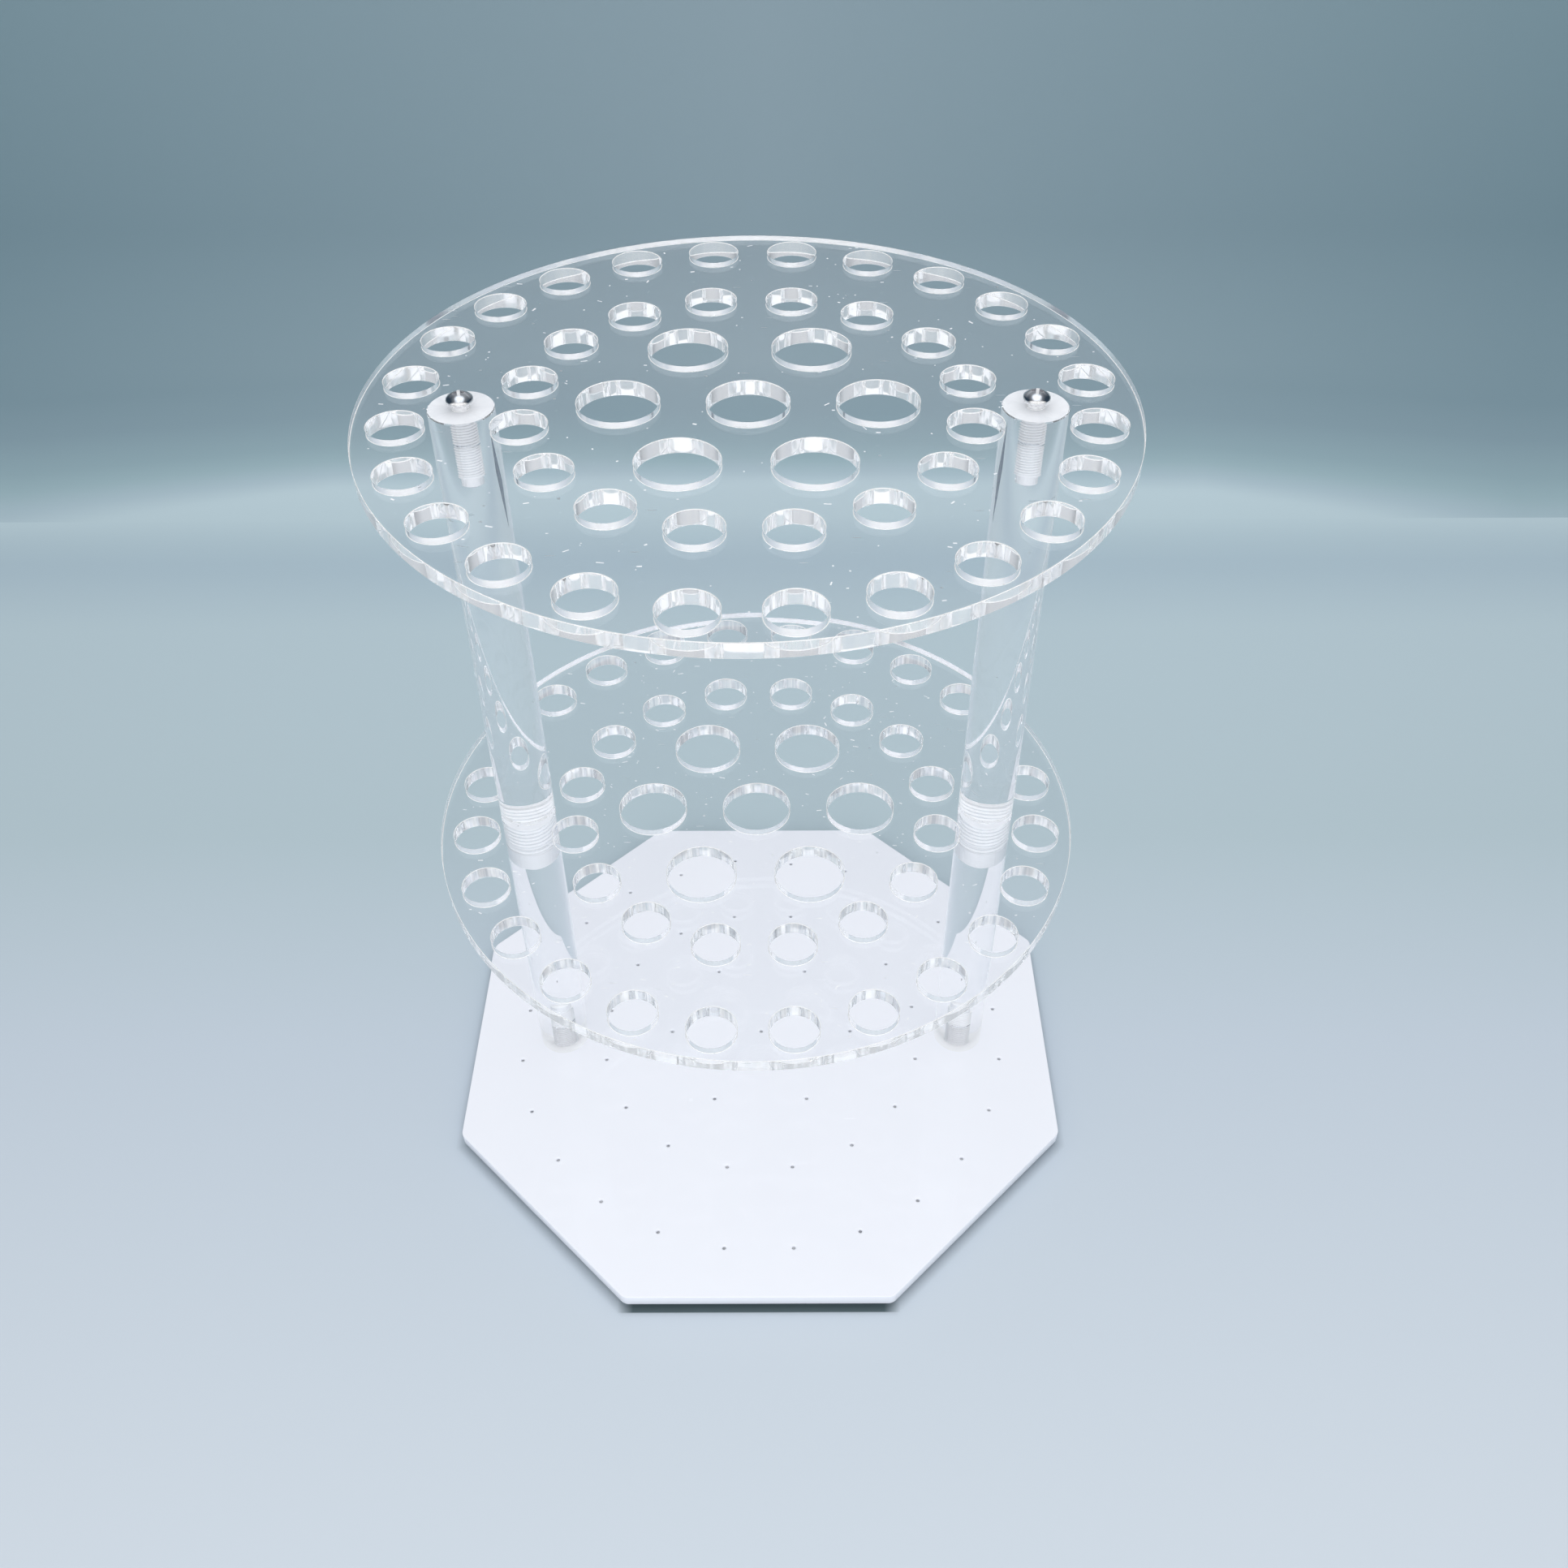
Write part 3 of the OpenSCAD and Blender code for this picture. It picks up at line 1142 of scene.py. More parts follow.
@dataclass
class BasePlate:
    """The opal octagon, with a drilled dimple under every hole and a sunk hole under each rod."""

    pattern: Pattern
    finishes: Finishes
    node: str = "base_plate"
    across: float = 243.5 * MM
    corner_radius: float = 4.0 * MM
    edge: float = 0.25 * MM
    dimple_across: float = 1.5 * MM
    dimple_depth: float = 0.8 * MM
    dimple_tip: float = 0.25 * MM
    dimple_waists: Point2 = (0.8, 0.9)
    dimple_waist_drop: float = 0.3
    dimple_lip: float = 0.5 * MM
    lip_curve: Tuple[Point2, ...] = ((0.0, 0.4), (0.4, 0.1), (1.0, 0.0))
    screw_hole: float = 5.3 * MM
    sink_across: float = 9.48 * MM
    flats: int = 8
    corner_steps: int = 8
    edge_steps: int = 3
    dimple_segments: int = 24
    hole_segments: int = 48
    cap_tilt: float = 0.9
    # How far up a deep dimple face must point to get the painted pit shade.
    pit_shade_tilt: float = 0.1

    def build(self) -> None:
        """Builds the plate."""
        low, high = levels(self.node)
        mesh = bmesh.new()
        self._slab(mesh, low, high)
        large = [f for f in mesh.faces if len(f.verts) > self.flats]
        caps = [f for f in large if abs(f.normal.z) > self.cap_tilt]
        bmesh.ops.delete(mesh, geom=caps, context="FACES_ONLY")
        for ring in self.pattern.rings():
            repeated(mesh, self._dimple(high), self.dimple_segments, ring.centres())
        hole, sink = self.screw_hole / 2, self.sink_across / 2
        bore = [(sink, low), (hole, low + sink - hole), (hole, high)]
        repeated(mesh, bore, self.hole_segments, self.pattern.rod_places())
        filled(mesh, (low, high))
        bmesh.ops.recalc_face_normals(mesh, faces=mesh.faces)
        mesh.normal_update()
        # Paints shade into the dimples: their deep, upward faces get the dark painted-shade
        # material.
        floor = high - self.dimple_depth
        for face in mesh.faces:
            deep = face.calc_center_median().z < floor
            face.material_index = int(deep and face.normal.z > self.pit_shade_tilt)
        mats = [self.finishes.opal, self.finishes.grime]
        finished(mesh, "base_plate_opal", mats, (0.0, 0.0), self.node)

    def _dimple(self, high: float) -> Profile:
        """A dimple's profile, from its drill point up to the rounded lip in the top face.

        Args:
            high: the top face's height.

        Returns:
            The profile's points.
        """
        radius, lip, floor = self.dimple_across / 2, self.dimple_lip, high - self.dimple_depth
        inner, outer = (radius * share for share in self.dimple_waists)
        pit = [(0.0, floor - self.dimple_tip), (inner, floor - lip * self.dimple_waist_drop)]
        rise = [(radius + lip * out, high - lip * down) for out, down in self.lip_curve]
        return [*pit, (outer, floor), *rise]

    def _slab(self, mesh: Mesh, low: float, high: float) -> None:
        """Adds the octagon with rounded corners and softened edges, still without its holes.

        Args:
            mesh: the mesh to add to.
            low: the underside's height.
            high: the top's height.
        """
        turn = math.pi / self.flats
        bmesh.ops.create_circle(
            mesh,
            cap_ends=True,
            segments=self.flats,
            radius=self.across / 2 / math.cos(turn),
            matrix=Matrix.Translation((0.0, 0.0, low)) @ Matrix.Rotation(turn, 4, "Z"),
        )
        shared = dict(offset_type="OFFSET", profile=0.5, material=-1)
        bmesh.ops.bevel(
            mesh,
            geom=mesh.verts[:],
            affect="VERTICES",
            offset=self.corner_radius * math.tan(turn),
            segments=self.corner_steps,
            **shared,
        )
        raised = bmesh.ops.extrude_face_region(mesh, geom=mesh.faces[:], use_keep_orig=True)
        top = [v for v in raised["geom"] if isinstance(v, bmesh.types.BMVert)]
        bmesh.ops.translate(mesh, verts=top, vec=(0.0, 0.0, high - low))
        bmesh.ops.recalc_face_normals(mesh, faces=mesh.faces)
        rims = [e for e in mesh.edges if abs(e.verts[0].co.z - e.verts[1].co.z) < MERGE]
        bmesh.ops.bevel(
            mesh, geom=rims, affect="EDGES", offset=self.edge, segments=self.edge_steps, **shared
        )
        mesh.normal_update()


@dataclass
class Rods:
    """The clear rods, in two lengths each, with their tapped holes, sockets and spigots."""

    pattern: Pattern
    finishes: Finishes
    across: float = 20.0 * MM
    edge: float = 0.3 * MM
    screw: ThreadForm = SCREW_THREAD
    screw_gap: float = 0.05 * MM
    # Scales the thread map on screw threads, so that only their roots get the painted shade lines.
    screw_shade_scale: float = 0.5
    tap_thread: float = 21.0 * MM
    tap_depth: float = 23.8 * MM
    spigot: ThreadForm = SPIGOT_THREAD
    spigot_gap: float = 0.1 * MM
    spigot_length: float = 18.0 * MM
    spigot_tip: float = 1.0 * MM
    socket_thread: float = 15.0 * MM
    socket_depth: float = 22.8 * MM
    seat_gap: float = 0.05 * MM
    drill_angle: float = 118.0
    segments: int = 96

    def build(self) -> None:
        """Builds both rods in both lengths."""
        for side in Side:
            self._lower(side)
            self._upper(side)

    def _side(self, low: float, high: float) -> Profile:
        """The outer side's profile between two end faces, with its edges eased.

        Args:
            low: the lower end face's height.
            high: the upper one's.

        Returns:
            The profile's points.
        """
        radius, edge = self.across / 2, self.edge
        inner = radius - edge
        return [(inner, low), (radius, low + edge), (radius, high - edge), (inner, high)]

    def _hole(self, form: ThreadForm, groove: Groove, into: float, depth: float) -> Profile:
        """A blind tapped hole's profile, from its tip on the axis to its mouth.

        Args:
            form: its thread's form.
            groove: its thread, which begins at the mouth.
            into: 1 if the hole runs upwards, -1 if it runs downwards.
            depth: how far the drill went, down to its shoulder.

        Returns:
            The profile's points.
        """
        shoulder = (groove.low if into > 0 else groove.high) + into * depth
        tip = shoulder + into * form.root / math.tan(math.radians(self.drill_angle / 2))
        heights = groove.stations()
        if into > 0:
            heights.reverse()
        drilled = [(0.0, tip), (form.root, shoulder), (form.root, heights[0])]
        return drilled + [(groove.radius, z) for z in heights]

    def _place(
        self, mesh: Mesh, side: Side, node: str, ends: Point2, joint: float, grooves: List[Groove]
    ) -> None:
        """Dresses a turned rod by where its faces are, and makes it a piece.

        Args:
            mesh: the turned rod, on the Z axis.
            side: which rod it is.
            node: the solid that it stands for.
            ends: the heights of its two end faces.
            joint: the height of the one that meets the other length.
            grooves: its threads, which the thread map follows.
        """
        cut_threads(mesh, grooves)
        outside = self.across / 2 - self.edge - MERGE
        layer = mesh.loops.layers.uv.new(THREAD_MAP)
        for face in mesh.faces:
            spots = [(math.hypot(v.co.x, v.co.y), v.co.z) for v in face.verts]
            if all(r > outside for r, _ in spots):
                face.material_index = RodFace.SIDE
            elif all(abs(z - joint) < MERGE for _, z in spots):
                face.material_index = RodFace.JOINT
            elif all(min(abs(z - end) for end in ends) < MERGE for _, z in spots):
                face.material_index = RodFace.END
            else:
                face.material_index = RodFace.TAPPED
            for loop, (r, z) in zip(face.loops, spots):
                # The thread map's first number places the painted shade lines: a thread's root and
                # crest get them, and 0.5 gets none.
                groove = next((g for g in grooves if g.holds(r, z)), None)
                share = 0.5
                if groove:
                    coarse = groove.pitch == self.spigot.pitch
                    share = groove.share_at(r) * (1.0 if coarse else self.screw_shade_scale)
                loop[layer].uv = (share, z)
        looks = self.finishes
        mats = [looks.clear_rod, looks.sawn, looks.tapped, looks.faced]
        finished(mesh, f"{node}_bar", mats, self.pattern.rod_place(side), node)

    def _lower(self, side: Side) -> None:
        """Builds a lower rod: tapped at its foot, with the spigot's socket at its head.

        Args:
            side: which rod it is.
        """
        node = f"lower_rod_{side.word}"
        low, high = levels(node)
        low += self.seat_gap
        tap = self.screw.groove(low, low + self.tap_thread, self.screw_gap)
        socket = self.spigot.groove(high - self.socket_thread, high, self.spigot_gap)
        profile = self._hole(self.screw, tap, 1, self.tap_depth) + self._side(low, high)
        profile += reversed(self._hole(self.spigot, socket, -1, self.socket_depth))
        mesh = spun(profile, self.segments)
        self._place(mesh, side, node, (low, high), high, [tap, socket])

    def _upper(self, side: Side) -> None:
        """Builds an upper rod: tapped at its head, with the threaded spigot at its foot.

        Args:
            side: which rod it is.
        """
        node = f"upper_rod_{side.word}"
        tip, high = levels(node)
        low = tip + self.spigot_length
        spigot = self.spigot.groove(tip + self.spigot_tip, low)
        tap = self.screw.groove(high - self.tap_thread, high, self.screw_gap)
        profile = [(0.0, tip), (spigot.radius - self.spigot_tip, tip)]
        profile += [(spigot.radius, z) for z in spigot.stations()] + self._side(low, high)
        profile += reversed(self._hole(self.screw, tap, -1, self.tap_depth))
        mesh = spun(profile, self.segments)
        self._place(mesh, side, node, (low, high), low, [spigot, tap])


@dataclass
class Screw:
    """A cross-recessed machine screw, turned, threaded and punched."""

    side: Side
    head: Head
    pattern: Pattern
    finishes: Finishes
    thread: ThreadForm = SCREW_THREAD
    chamfer: float = 0.5 * MM
    head_across: float = 8.2 * MM
    head_height: float = 3.0 * MM
    head_rim: float = 1.1 * MM
    head_edge: float = 0.25 * MM
    dome_start: float = 0.35
    dome_steps: int = 14
    flat_across: float = 9.2 * MM
    flat_edge: float = 0.1 * MM
    recess_across: float = 4.4 * MM
    recess_width: float = 1.0 * MM
    recess_depth: float = 1.7 * MM
    recess_over: float = 0.6 * MM
    recess_taper: float = 0.75
    recess_turn: float = -0.2
    wing_excess: float = 0.01 * MM
    segments: int = 48

    def build(self) -> None:
        """Builds the screw."""
        pan = self.head is Head.PAN
        node = f"{'top' if pan else 'base'}_screw_{self.side.word}"
        low, high = levels(node)
        if pan:
            high = levels("upper_disc")[1] + self.head_height
        groove, profile = self._pan(low, high) if pan else self._countersunk(low, high)
        mesh = spun(profile, self.segments)
        cut_threads(mesh, [groove])
        place = self.pattern.rod_place(self.side)
        mats = [self.finishes.steel]
        piece = finished(mesh, f"{node}_cross", mats, place, node)
        carved(piece, self._punch(place, high if pan else low, -1.0 if pan else 1.0))

    def _pan(self, low: float, high: float) -> Tuple[Groove, Profile]:
        """The screw with a domed head above it.

        Args:
            low: the tip's height.
            high: the height of the dome's top.

        Returns:
            The thread, and the profile from the tip up to the top of the dome.
        """
        under = high - self.head_height
        groove = self.thread.groove(low + self.chamfer, under - self.thread.pitch / 2)
        shank = [(0.0, low), (groove.radius - self.chamfer, low)]
        shank += [(groove.radius, z) for z in groove.stations()] + [(groove.radius, under)]
        radius, edge, rim = self.head_across / 2, self.head_edge, under + self.head_rim
        rise = self.head_height - self.head_rim
        ball = (radius**2 + rise**2) / (2 * rise)
        middle = high - ball
        start = math.atan2(rim + edge - middle, radius - edge * self.dome_start)
        dome = arc((0.0, middle), ball, math.degrees(start), 90.0, self.dome_steps)[:-1]
        side = [(radius - edge, under), (radius, under + edge), (radius, rim - edge)]
        return groove, shank + side + dome + [(0.0, high)]

    def _countersunk(self, low: float, high: float) -> Tuple[Groove, Profile]:
        """The screw with a flat sunk head below it.

        Args:
            low: the height of the head's flat face.
            high: the tip's height.

        Returns:
            The thread, and the profile from the flat face up to the tip.
        """
        radius, flat, edge = self.thread.across / 2, self.flat_across / 2, self.flat_edge
        sink = flat - radius
        groove = self.thread.groove(low + sink + self.thread.pitch / 2, high - self.chamfer)
        head = [(0.0, low), (flat - edge, low), (flat, low + edge), (radius, low + sink)]
        shank = [(radius, z) for z in groove.stations()]
        return groove, head + shank + [(radius - self.chamfer, high), (0.0, high)]

    def _punch(self, place: Point2, height: float, into: float) -> Mesh:
        """The cross recess's cutter: two wings that narrow to a point.

        Args:
            place: the screw's axis.
            height: the height of the face that the punch enters.
            into: 1 if it runs upwards, -1 if downwards.

        Returns:
            The cutter's mesh.
        """
        mesh = bmesh.new()
        half, thin, over = self.recess_across / 2, self.recess_width / 2, self.recess_over
        grow = over * (self.recess_across - self.recess_width) / 2 / self.recess_depth
        for turn in (0.0, math.pi / 2):
            wing = bmesh.ops.create_cube(mesh, size=1.0)["verts"]
            for dot in wing:
                deep = dot.co.z < 0
                wide = thin * (self.recess_taper if deep else 1.0) + turn * self.wing_excess
                dot.co.x = math.copysign(thin if deep else half + grow, dot.co.x)
                dot.co.y = math.copysign(wide, dot.co.y)
                dot.co.z = -self.recess_depth if deep else over
            aim = Matrix.Rotation(turn + self.side.value * self.recess_turn, 3, "Z")
            bmesh.ops.rotate(mesh, verts=wing, cent=(0.0, 0.0, 0.0), matrix=aim)
        if into > 0:
            bmesh.ops.scale(mesh, verts=mesh.verts, vec=(1.0, 1.0, -1.0))
            bmesh.ops.reverse_faces(mesh, faces=mesh.faces)
        bmesh.ops.translate(mesh, verts=mesh.verts, vec=(*place, height))
        return mesh


@dataclass
class Foot:
    """A moulded rubber bumper, with rolled edges and a dished tread."""

    node: str
    finishes: Finishes
    roll: float = 0.5 * MM
    roll_steps: int = 5
    taper: float = 1.0 * MM
    draft: float = 15.0
    dish: float = 0.3 * MM
    dish_in: float = 2.5
    dish_out: float = 1.6
    segments: int = 48

    def build(self) -> None:
        """Builds the foot."""
        low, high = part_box(self.node)
        centre = (low + high) / 2
        wide, roll = (high.x - low.x) / 2, self.roll
        narrow, floor = wide - self.taper, low.z + self.dish
        profile = [(0.0, floor), (narrow - self.dish_in * roll, floor)]
        profile += [(narrow - self.dish_out * roll, low.z)]
        profile += arc((narrow - roll, low.z + roll), roll, -90.0, self.draft, self.roll_steps)
        profile += [(wide, high.z - roll / 2), (wide, high.z), (0.0, high.z)]
        mesh = spun(profile, self.segments)
        place, mats = (centre.x, centre.y), [self.finishes.rubber]
        finished(mesh, f"{self.node}_bumper", mats, place, self.node)


# ---------------------------------------------------------------------------------------
# Studio
# ---------------------------------------------------------------------------------------


@dataclass
class Sweep:
    """The pale floor, which turns up into a low wall behind the stand, with light and shade painted
    on it.
    """

    near: float = -2.5
    side: float = 3.0
    bends: Point3 = (-0.5, 0.0, 0.3)
    fold: float = 0.385
    radius: float = 0.14
    wall_top: float = 0.36
    steps: int = 24
    roughness: float = 0.6
    sheen: float = 0.2
    # Painted light and shade along the floor: the bright band near the fold and the falloff to the
    # front are painted, not lit.
    floor_light_stops: Tuple[Tuple[float, Colour], ...] = (
        (-2.5, (0.8, 0.82, 0.85)),
        (-1.4, (0.72, 0.74, 0.77)),
        (-0.9, (0.67, 0.69, 0.72)),
        (-0.42, (0.78, 0.8, 0.83)),
        (-0.24, (0.589, 0.656, 0.728)),
        (-0.2, (0.585, 0.651, 0.722)),
        (0.0, (0.522, 0.599, 0.683)),
        (0.13, (0.45, 0.555, 0.609)),
        (0.3, (0.488, 0.6, 0.659)),
        (0.36, (0.433, 0.546, 0.622)),
        (0.41, (0.51, 0.63, 0.686)),
    )
    # Painted shade up the wall: it darkens with height in the paint, not from the lamps.
    wall_light_stops: Tuple[Tuple[float, Colour], ...] = (
        (0.0018, (0.51, 0.63, 0.686)),
        (0.0049, (0.51, 0.63, 0.686)),
        (0.0089, (0.41, 0.525, 0.59)),
        (0.0139, (0.322, 0.446, 0.494)),
        (0.0194, (0.273, 0.386, 0.436)),
        (0.0325, (0.22, 0.314, 0.369)),
        (0.048, (0.192, 0.283, 0.335)),
        (0.3, (0.2, 0.297, 0.342)),
    )
    # Painted light: a paler pool in the middle of the wall.
    centre_light: Colour = (0.282, 0.37, 0.421)
    centre_heights: Point2 = (0.01, 0.06)
    centre_reach: float = 0.5
    tilt: float = 0.005
    bow_reach: Point2 = (0.28, 0.48)
    bow: Point2 = (-0.004, 0.006)
    plate_half: float = 121.75 * MM
    plate_front: float = 50.4 * MM
    # Painted shadow of the base plate on the floor, and in the gap under its front edge.
    shade_colour: Colour = (0.05, 0.085, 0.095)
    shade_rim: Point2 = (3.5 * MM, -0.5 * MM)
    shade_share: float = 0.27
    slot_reach: float = 1.7 * MM
    slot_soft: float = 0.3 * MM
    slot_depth: Point2 = (30.0 * MM, 8.0 * MM)
    slot_end: float = 3.0 * MM
    slot_share: float = 0.9
    flag_place: Point2 = (0.46, 0.22)
    flag_size: Point2 = (0.14, 0.035)
    flag_colour: Colour = (0.04, 0.1, 0.17)
    flag_roughness: float = 0.9

    def build(self) -> None:
        """Builds the sweep."""
        mesh = bmesh.new()
        spine = [(y, 0.0) for y in (self.near, *self.bends)]
        spine += arc((self.fold, self.radius), self.radius, -90.0, 0.0, self.steps)
        spine += [(self.fold + self.radius, self.wall_top)]
        dots = [mesh.verts.new((-self.side, y, z)) for y, z in spine]
        lines = [mesh.edges.new(pair) for pair in zip(dots, dots[1:])]
        wide = bmesh.ops.extrude_edge_only(mesh, edges=lines)
        moved = [v for v in wide["geom"] if isinstance(v, bmesh.types.BMVert)]
        bmesh.ops.translate(mesh, verts=moved, vec=(2 * self.side, 0.0, 0.0))
        bmesh.ops.recalc_face_normals(mesh, faces=mesh.faces)
        if sum(f.normal.z for f in mesh.faces) < 0:
            bmesh.ops.reverse_faces(mesh, faces=mesh.faces)
        for face in mesh.faces:
            face.smooth = True
        floor = as_object(mesh, "studio_sweep", [self._paint()])

    def flags(self) -> None:
        """Stands a dark card on each side that only clear plastic sees, to draw its edges."""
        surface = Surface("studio_flag", Base_Color=self.flag_colour, Specular_IOR_Level=0.0)
        surface.set(Roughness=self.flag_roughness)
        width, height = self.flag_size
        upright = Matrix.Rotation(math.pi / 2, 3, "Y")
        for side in Side:
            mesh = bmesh.new()
            bmesh.ops.create_grid(mesh, x_segments=1, y_segments=1, size=0.5)
            bmesh.ops.scale(mesh, verts=mesh.verts, vec=(height, width, 1.0))
            bmesh.ops.rotate(mesh, verts=mesh.verts, cent=(0.0, 0.0, 0.0), matrix=upright)
            spot = (side.value * self.flag_place[0], self.flag_place[1], height / 2)
            bmesh.ops.translate(mesh, verts=mesh.verts, vec=spot)
            card = as_object(mesh, f"studio_flag_{side.word}", [surface.material])
            card.visible_camera = card.visible_diffuse = False
            card.visible_shadow = card.visible_glossy = False

    def _plate_shadow(self, surface: Surface, colour: Socket, aside: Socket, along: Socket) -> Socket:
        """Paints shade on the floor under the plate's rim: a soft painted shadow at the sides, and
        a full one in the gap along the front.

        Args:
            surface: the sweep's material.
            colour: the floor's colour.
            aside: how far a point is from the middle, either way.
            along: its Y.

        Returns:
            The shaded colour's socket.
        """
        depth = surface.math("ABSOLUTE", along)
        both = surface.math("ADD", aside, depth)
        slant = surface.math("MULTIPLY", both, math.sqrt(0.5))
        reach = surface.math("MAXIMUM", surface.math("MAXIMUM", aside, depth), slant)
        out, full = (self.plate_half + edge for edge in self.shade_rim)
        soft = surface.stretch(reach, out, full, 0.0, self.shade_share)
        colour = surface.blend(soft, colour, self.shade_colour)
        # Painted shadow in the gap under the plate's front edge.
        ahead = surface.math("MULTIPLY", along, -1.0)
        front = self.plate_half + self.slot_reach
        slot = surface.stretch(ahead, front + self.slot_soft, front, 0.0, self.slot_share)
        inner = surface.stretch(ahead, *(self.plate_half - depth for depth in self.slot_depth))
        ends = (self.plate_front + self.slot_end, self.plate_front - self.slot_end)
        wide = surface.stretch(aside, *ends)
        slot = surface.math("MULTIPLY", surface.math("MULTIPLY", slot, inner), wide)
        return surface.blend(slot, colour, self.shade_colour)

    def _paint(self) -> Material:
        """The sweep's paint, with the room's light and shade painted in: paler to the front, a
        painted band of light along the fold, painted shade darker up the wall and a painted pool of
        light in its middle.

        Returns:
            The material.
        """
        surface = Surface("studio_paint", Roughness=self.roughness)
        place = surface.add("ShaderNodeSeparateXYZ", {0: surface.coordinates()}).outputs
        aside = surface.math("ABSOLUTE", place["X"])
        floor = surface.ramp(place["Y"], self.floor_light_stops)
        lean = surface.math("MULTIPLY", surface.math("MAXIMUM", place["X"], 0.0), self.tilt)
        bow = surface.stretch(aside, *self.bow_reach, *self.bow)
        height = surface.math("ADD", place["Z"], surface.math("ADD", lean, bow))
        near = surface.stretch(aside, self.centre_reach, 0.0)
        centre = surface.math("MULTIPLY", near, surface.stretch(place["Z"], *self.centre_heights))
        wall = surface.blend(centre, surface.ramp(height, self.wall_light_stops), self.centre_light)
        on_wall = surface.math("GREATER_THAN", place["Z"], self.wall_light_stops[0][0])
        colour = surface.blend(on_wall, floor, wall)
        surface.set(
            Base_Color=self._plate_shadow(surface, colour, aside, place["Y"]),
            Specular_IOR_Level=self.sheen,
        )
        behind = surface.add("ShaderNodeNewGeometry").outputs["Backfacing"]
        clear = surface.add("ShaderNodeBsdfTransparent")
        surface.feed(surface.output, {"Surface": surface.either(behind, surface.shader, clear)})
        return surface.material


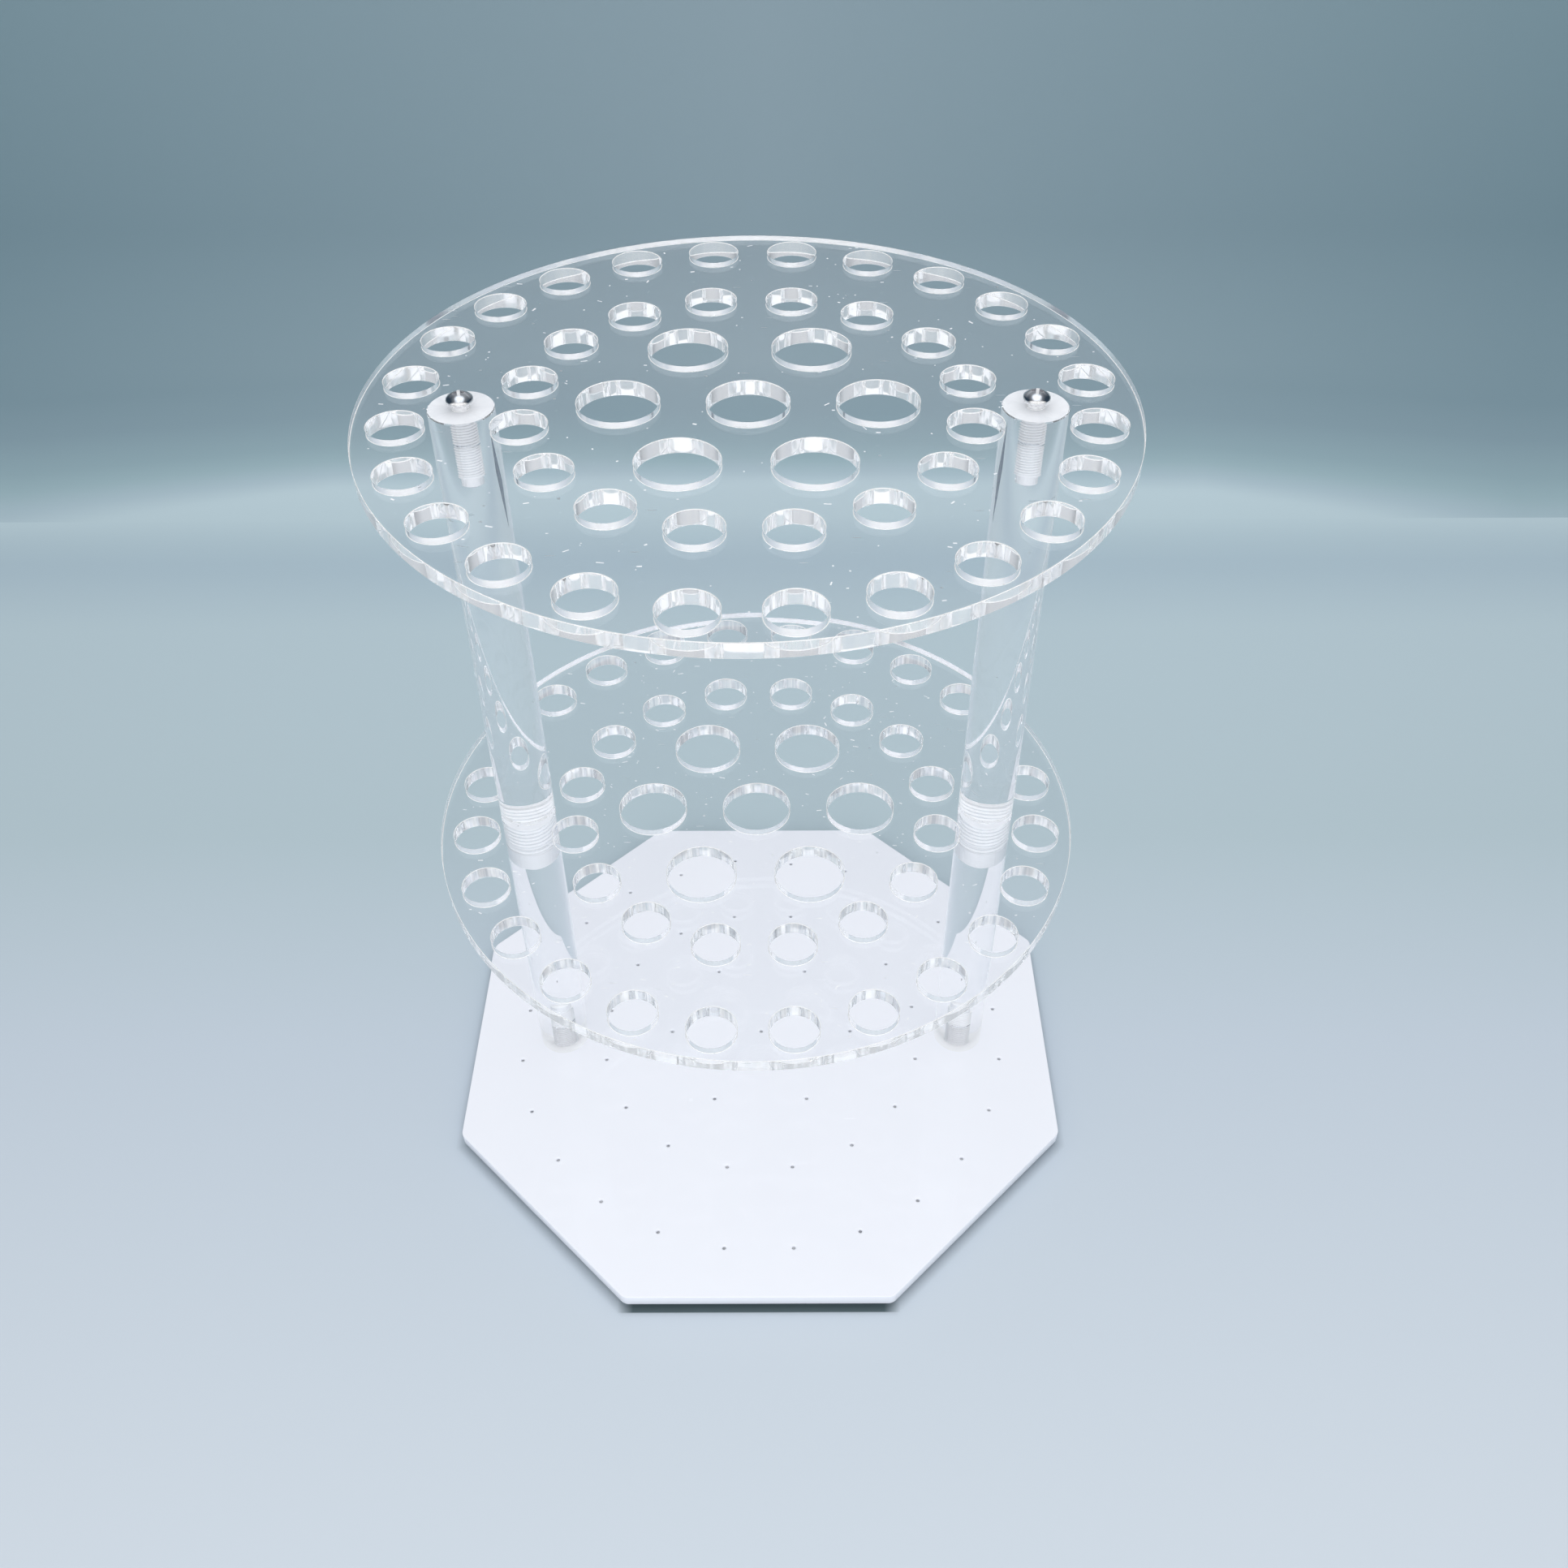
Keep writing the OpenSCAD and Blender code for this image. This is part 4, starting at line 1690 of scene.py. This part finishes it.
@dataclass
class Studio:
    """The camera, the lamps and the room's light."""

    frame_pixels: float = 1932.0
    focal_pixels: float = 1847.661
    sensor: float = 36.0
    clip: Point2 = (0.01, 50.0)
    eye: Point3 = (0.010162, -0.396998, 0.531893)
    pitch: float = 43.386
    yaw: float = 0.002
    roll: float = -0.179
    aim: Point3 = (0.0, 0.0, 0.1)
    key_power: float = 9.5
    key_size: float = 1.4
    key_place: Point3 = (0.1, 0.15, 1.7)
    front_power: float = 9.0
    front_size: float = 1.2
    front_place: Point3 = (0.0, -1.25, 0.85)
    fill: Colour = (0.6, 0.6, 0.6)
    gloss_tint: Colour = (0.9, 0.97, 1.06)
    guided_colour: Colour = (1.05, 1.1, 1.18)
    guided_rise: float = 0.36
    through_colour: Colour = (0.82, 0.9, 0.95)
    front_colour: Colour = (1.1, 1.1, 1.1)
    front_ends: Point2 = (0.25, 0.6)
    side_colour: Colour = (0.03, 0.05, 0.075)
    side_ends: Point2 = (0.35, 0.75)
    backdrop: Colour = (0.62, 0.68, 0.72)
    gloss_stops: Tuple[Point2, ...] = (
        (0.0, 0.12),
        (0.3, 0.3),
        (0.42, 0.42),
        (0.53, 0.5),
        (0.68, 0.28),
        (0.86, 0.35),
        (0.95, 1.3),
        (1.0, 1.4),
    )
    bounces: int = 32
    glossy_bounces: int = 16
    clear_bounces: int = 48

    def build(self) -> None:
        """Builds the sweep, the camera, the lamps and the world, and sets the view."""
        sweep = Sweep()
        sweep.build()
        sweep.flags()
        self._camera()
        self._room()
        self._lamp("key_softbox", self.key_place, self.key_size, self.key_power)
        self._lamp("front_softbox", self.front_place, self.front_size, self.front_power)
        scene = bpy.context.scene
        scene.view_settings.view_transform = "Standard"
        scene.cycles.max_bounces = scene.cycles.transmission_bounces = self.bounces
        scene.cycles.glossy_bounces = self.glossy_bounces
        scene.cycles.transparent_max_bounces = self.clear_bounces

    def _camera(self) -> None:
        """Places the camera."""
        pitch, yaw, roll = (math.radians(a) for a in (self.pitch, self.yaw, self.roll))
        level = Vector((math.sin(yaw), math.cos(yaw), 0.0)) * math.cos(pitch)
        ahead = level - Vector((0.0, 0.0, math.sin(pitch)))
        right = Vector((math.cos(yaw), -math.sin(yaw), 0.0))
        up = right.cross(ahead)
        right_rolled = right * math.cos(roll) + up * math.sin(roll)
        up_rolled = up * math.cos(roll) - right * math.sin(roll)
        data = bpy.data.cameras.new("studio_camera")
        data.sensor_width = self.sensor
        data.lens = self.focal_pixels / self.frame_pixels * self.sensor
        data.clip_start, data.clip_end = self.clip
        camera = linked("studio_camera", data)
        turned = Matrix((right_rolled, up_rolled, -ahead)).transposed()
        camera.matrix_world = Matrix.Translation(self.eye) @ turned.to_4x4()
        bpy.context.scene.camera = camera

    def _lamp(self, name: str, place: Point3, size: float, power: float) -> None:
        """Adds a square softbox that looks at the stand.

        Args:
            name: the lamp's name.
            place: where it stands.
            size: the length of its sides.
            power: its power in watts.
        """
        data = bpy.data.lights.new(name, "AREA")
        data.shape, data.size, data.energy = "SQUARE", size, power
        lamp = linked(name, data)
        lamp.visible_glossy = lamp.visible_transmission = False
        lamp.location = place
        aim = Vector(self.aim) - Vector(place)
        lamp.rotation_euler = aim.to_track_quat("-Z", "Y").to_euler()

    def _room(self) -> None:
        """Lights the world: an even fill, a graded room for gloss, and a bright one for edges."""
        world = bpy.data.worlds.new("studio_room")
        bpy.context.scene.world = world
        world.use_nodes = True
        graph = Graph(world.node_tree)
        path = graph.add("ShaderNodeLightPath").outputs
        bent = graph.math("MAXIMUM", path["Is Glossy Ray"], path["Is Transmission Ray"])
        level = graph.blend(bent, self.fill, self._seen(graph, path))
        level = graph.blend(path["Is Camera Ray"], level, self.backdrop)
        light = graph.add("ShaderNodeBackground", {"Color": level})
        graph.add("ShaderNodeOutputWorld", {"Surface": light.outputs[0]})

    def _seen(self, graph: Graph, path: Any) -> Socket:
        """What gloss and clear plastic see of the room.

        Light that a sheet has guided inside itself comes out of its cut edges from every side
        of the room, so it sees the bright room.

        Args:
            graph: the world's graph.
            path: the Light Path node's outputs.

        Returns:
            The colour's socket.
        """
        where = graph.add("ShaderNodeTexCoord").outputs["Generated"]
        way = graph.add("ShaderNodeSeparateXYZ", {0: where}).outputs
        room = graph.ramp(way["Z"], [(z, dimmed(self.gloss_tint, s)) for z, s in self.gloss_stops])
        aside = graph.stretch(graph.math("ABSOLUTE", way["X"]), *self.side_ends)
        room = graph.blend(aside, room, self.side_colour)
        ahead = graph.stretch(graph.math("MULTIPLY", way["Y"], -1.0), *self.front_ends)
        room = graph.blend(ahead, room, self.front_colour)
        passed = graph.math("GREATER_THAN", path["Transmission Depth"], 0.5)
        once = graph.math("GREATER_THAN", path["Glossy Depth"], 0.5)
        twice = graph.math("GREATER_THAN", path["Glossy Depth"], 1.5)
        low = graph.math("MULTIPLY", once, graph.math("LESS_THAN", way["Z"], self.guided_rise))
        guided = graph.math("MULTIPLY", graph.math("MAXIMUM", twice, low), passed)
        seen = graph.blend(once, self.through_colour, room)
        return graph.blend(guided, seen, self.guided_colour)


def main() -> None:
    """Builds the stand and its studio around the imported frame, and reports each piece."""
    logging.basicConfig(level=logging.INFO, format="%(name)s: %(message)s")
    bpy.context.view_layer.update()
    finishes = Finishes.make()
    pattern = Pattern()
    BasePlate(pattern, finishes).build()
    for node in sorted(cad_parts):
        if node.startswith("foot_"):
            Foot(node, finishes).build()
    Rods(pattern, finishes).build()
    dusty = dict(flecks=260, fleck_width=0.34 * MM)
    Disc("lower_disc", 14.0 * MM, pattern, finishes, finishes.dull_cut, **dusty).build()
    Disc("upper_disc", 5.3 * MM, pattern, finishes, finishes.cut).build()
    for head in Head:
        for side in Side:
            Screw(side, head, pattern, finishes).build()
    Studio().build()


if __name__ == "__main__":
    main()
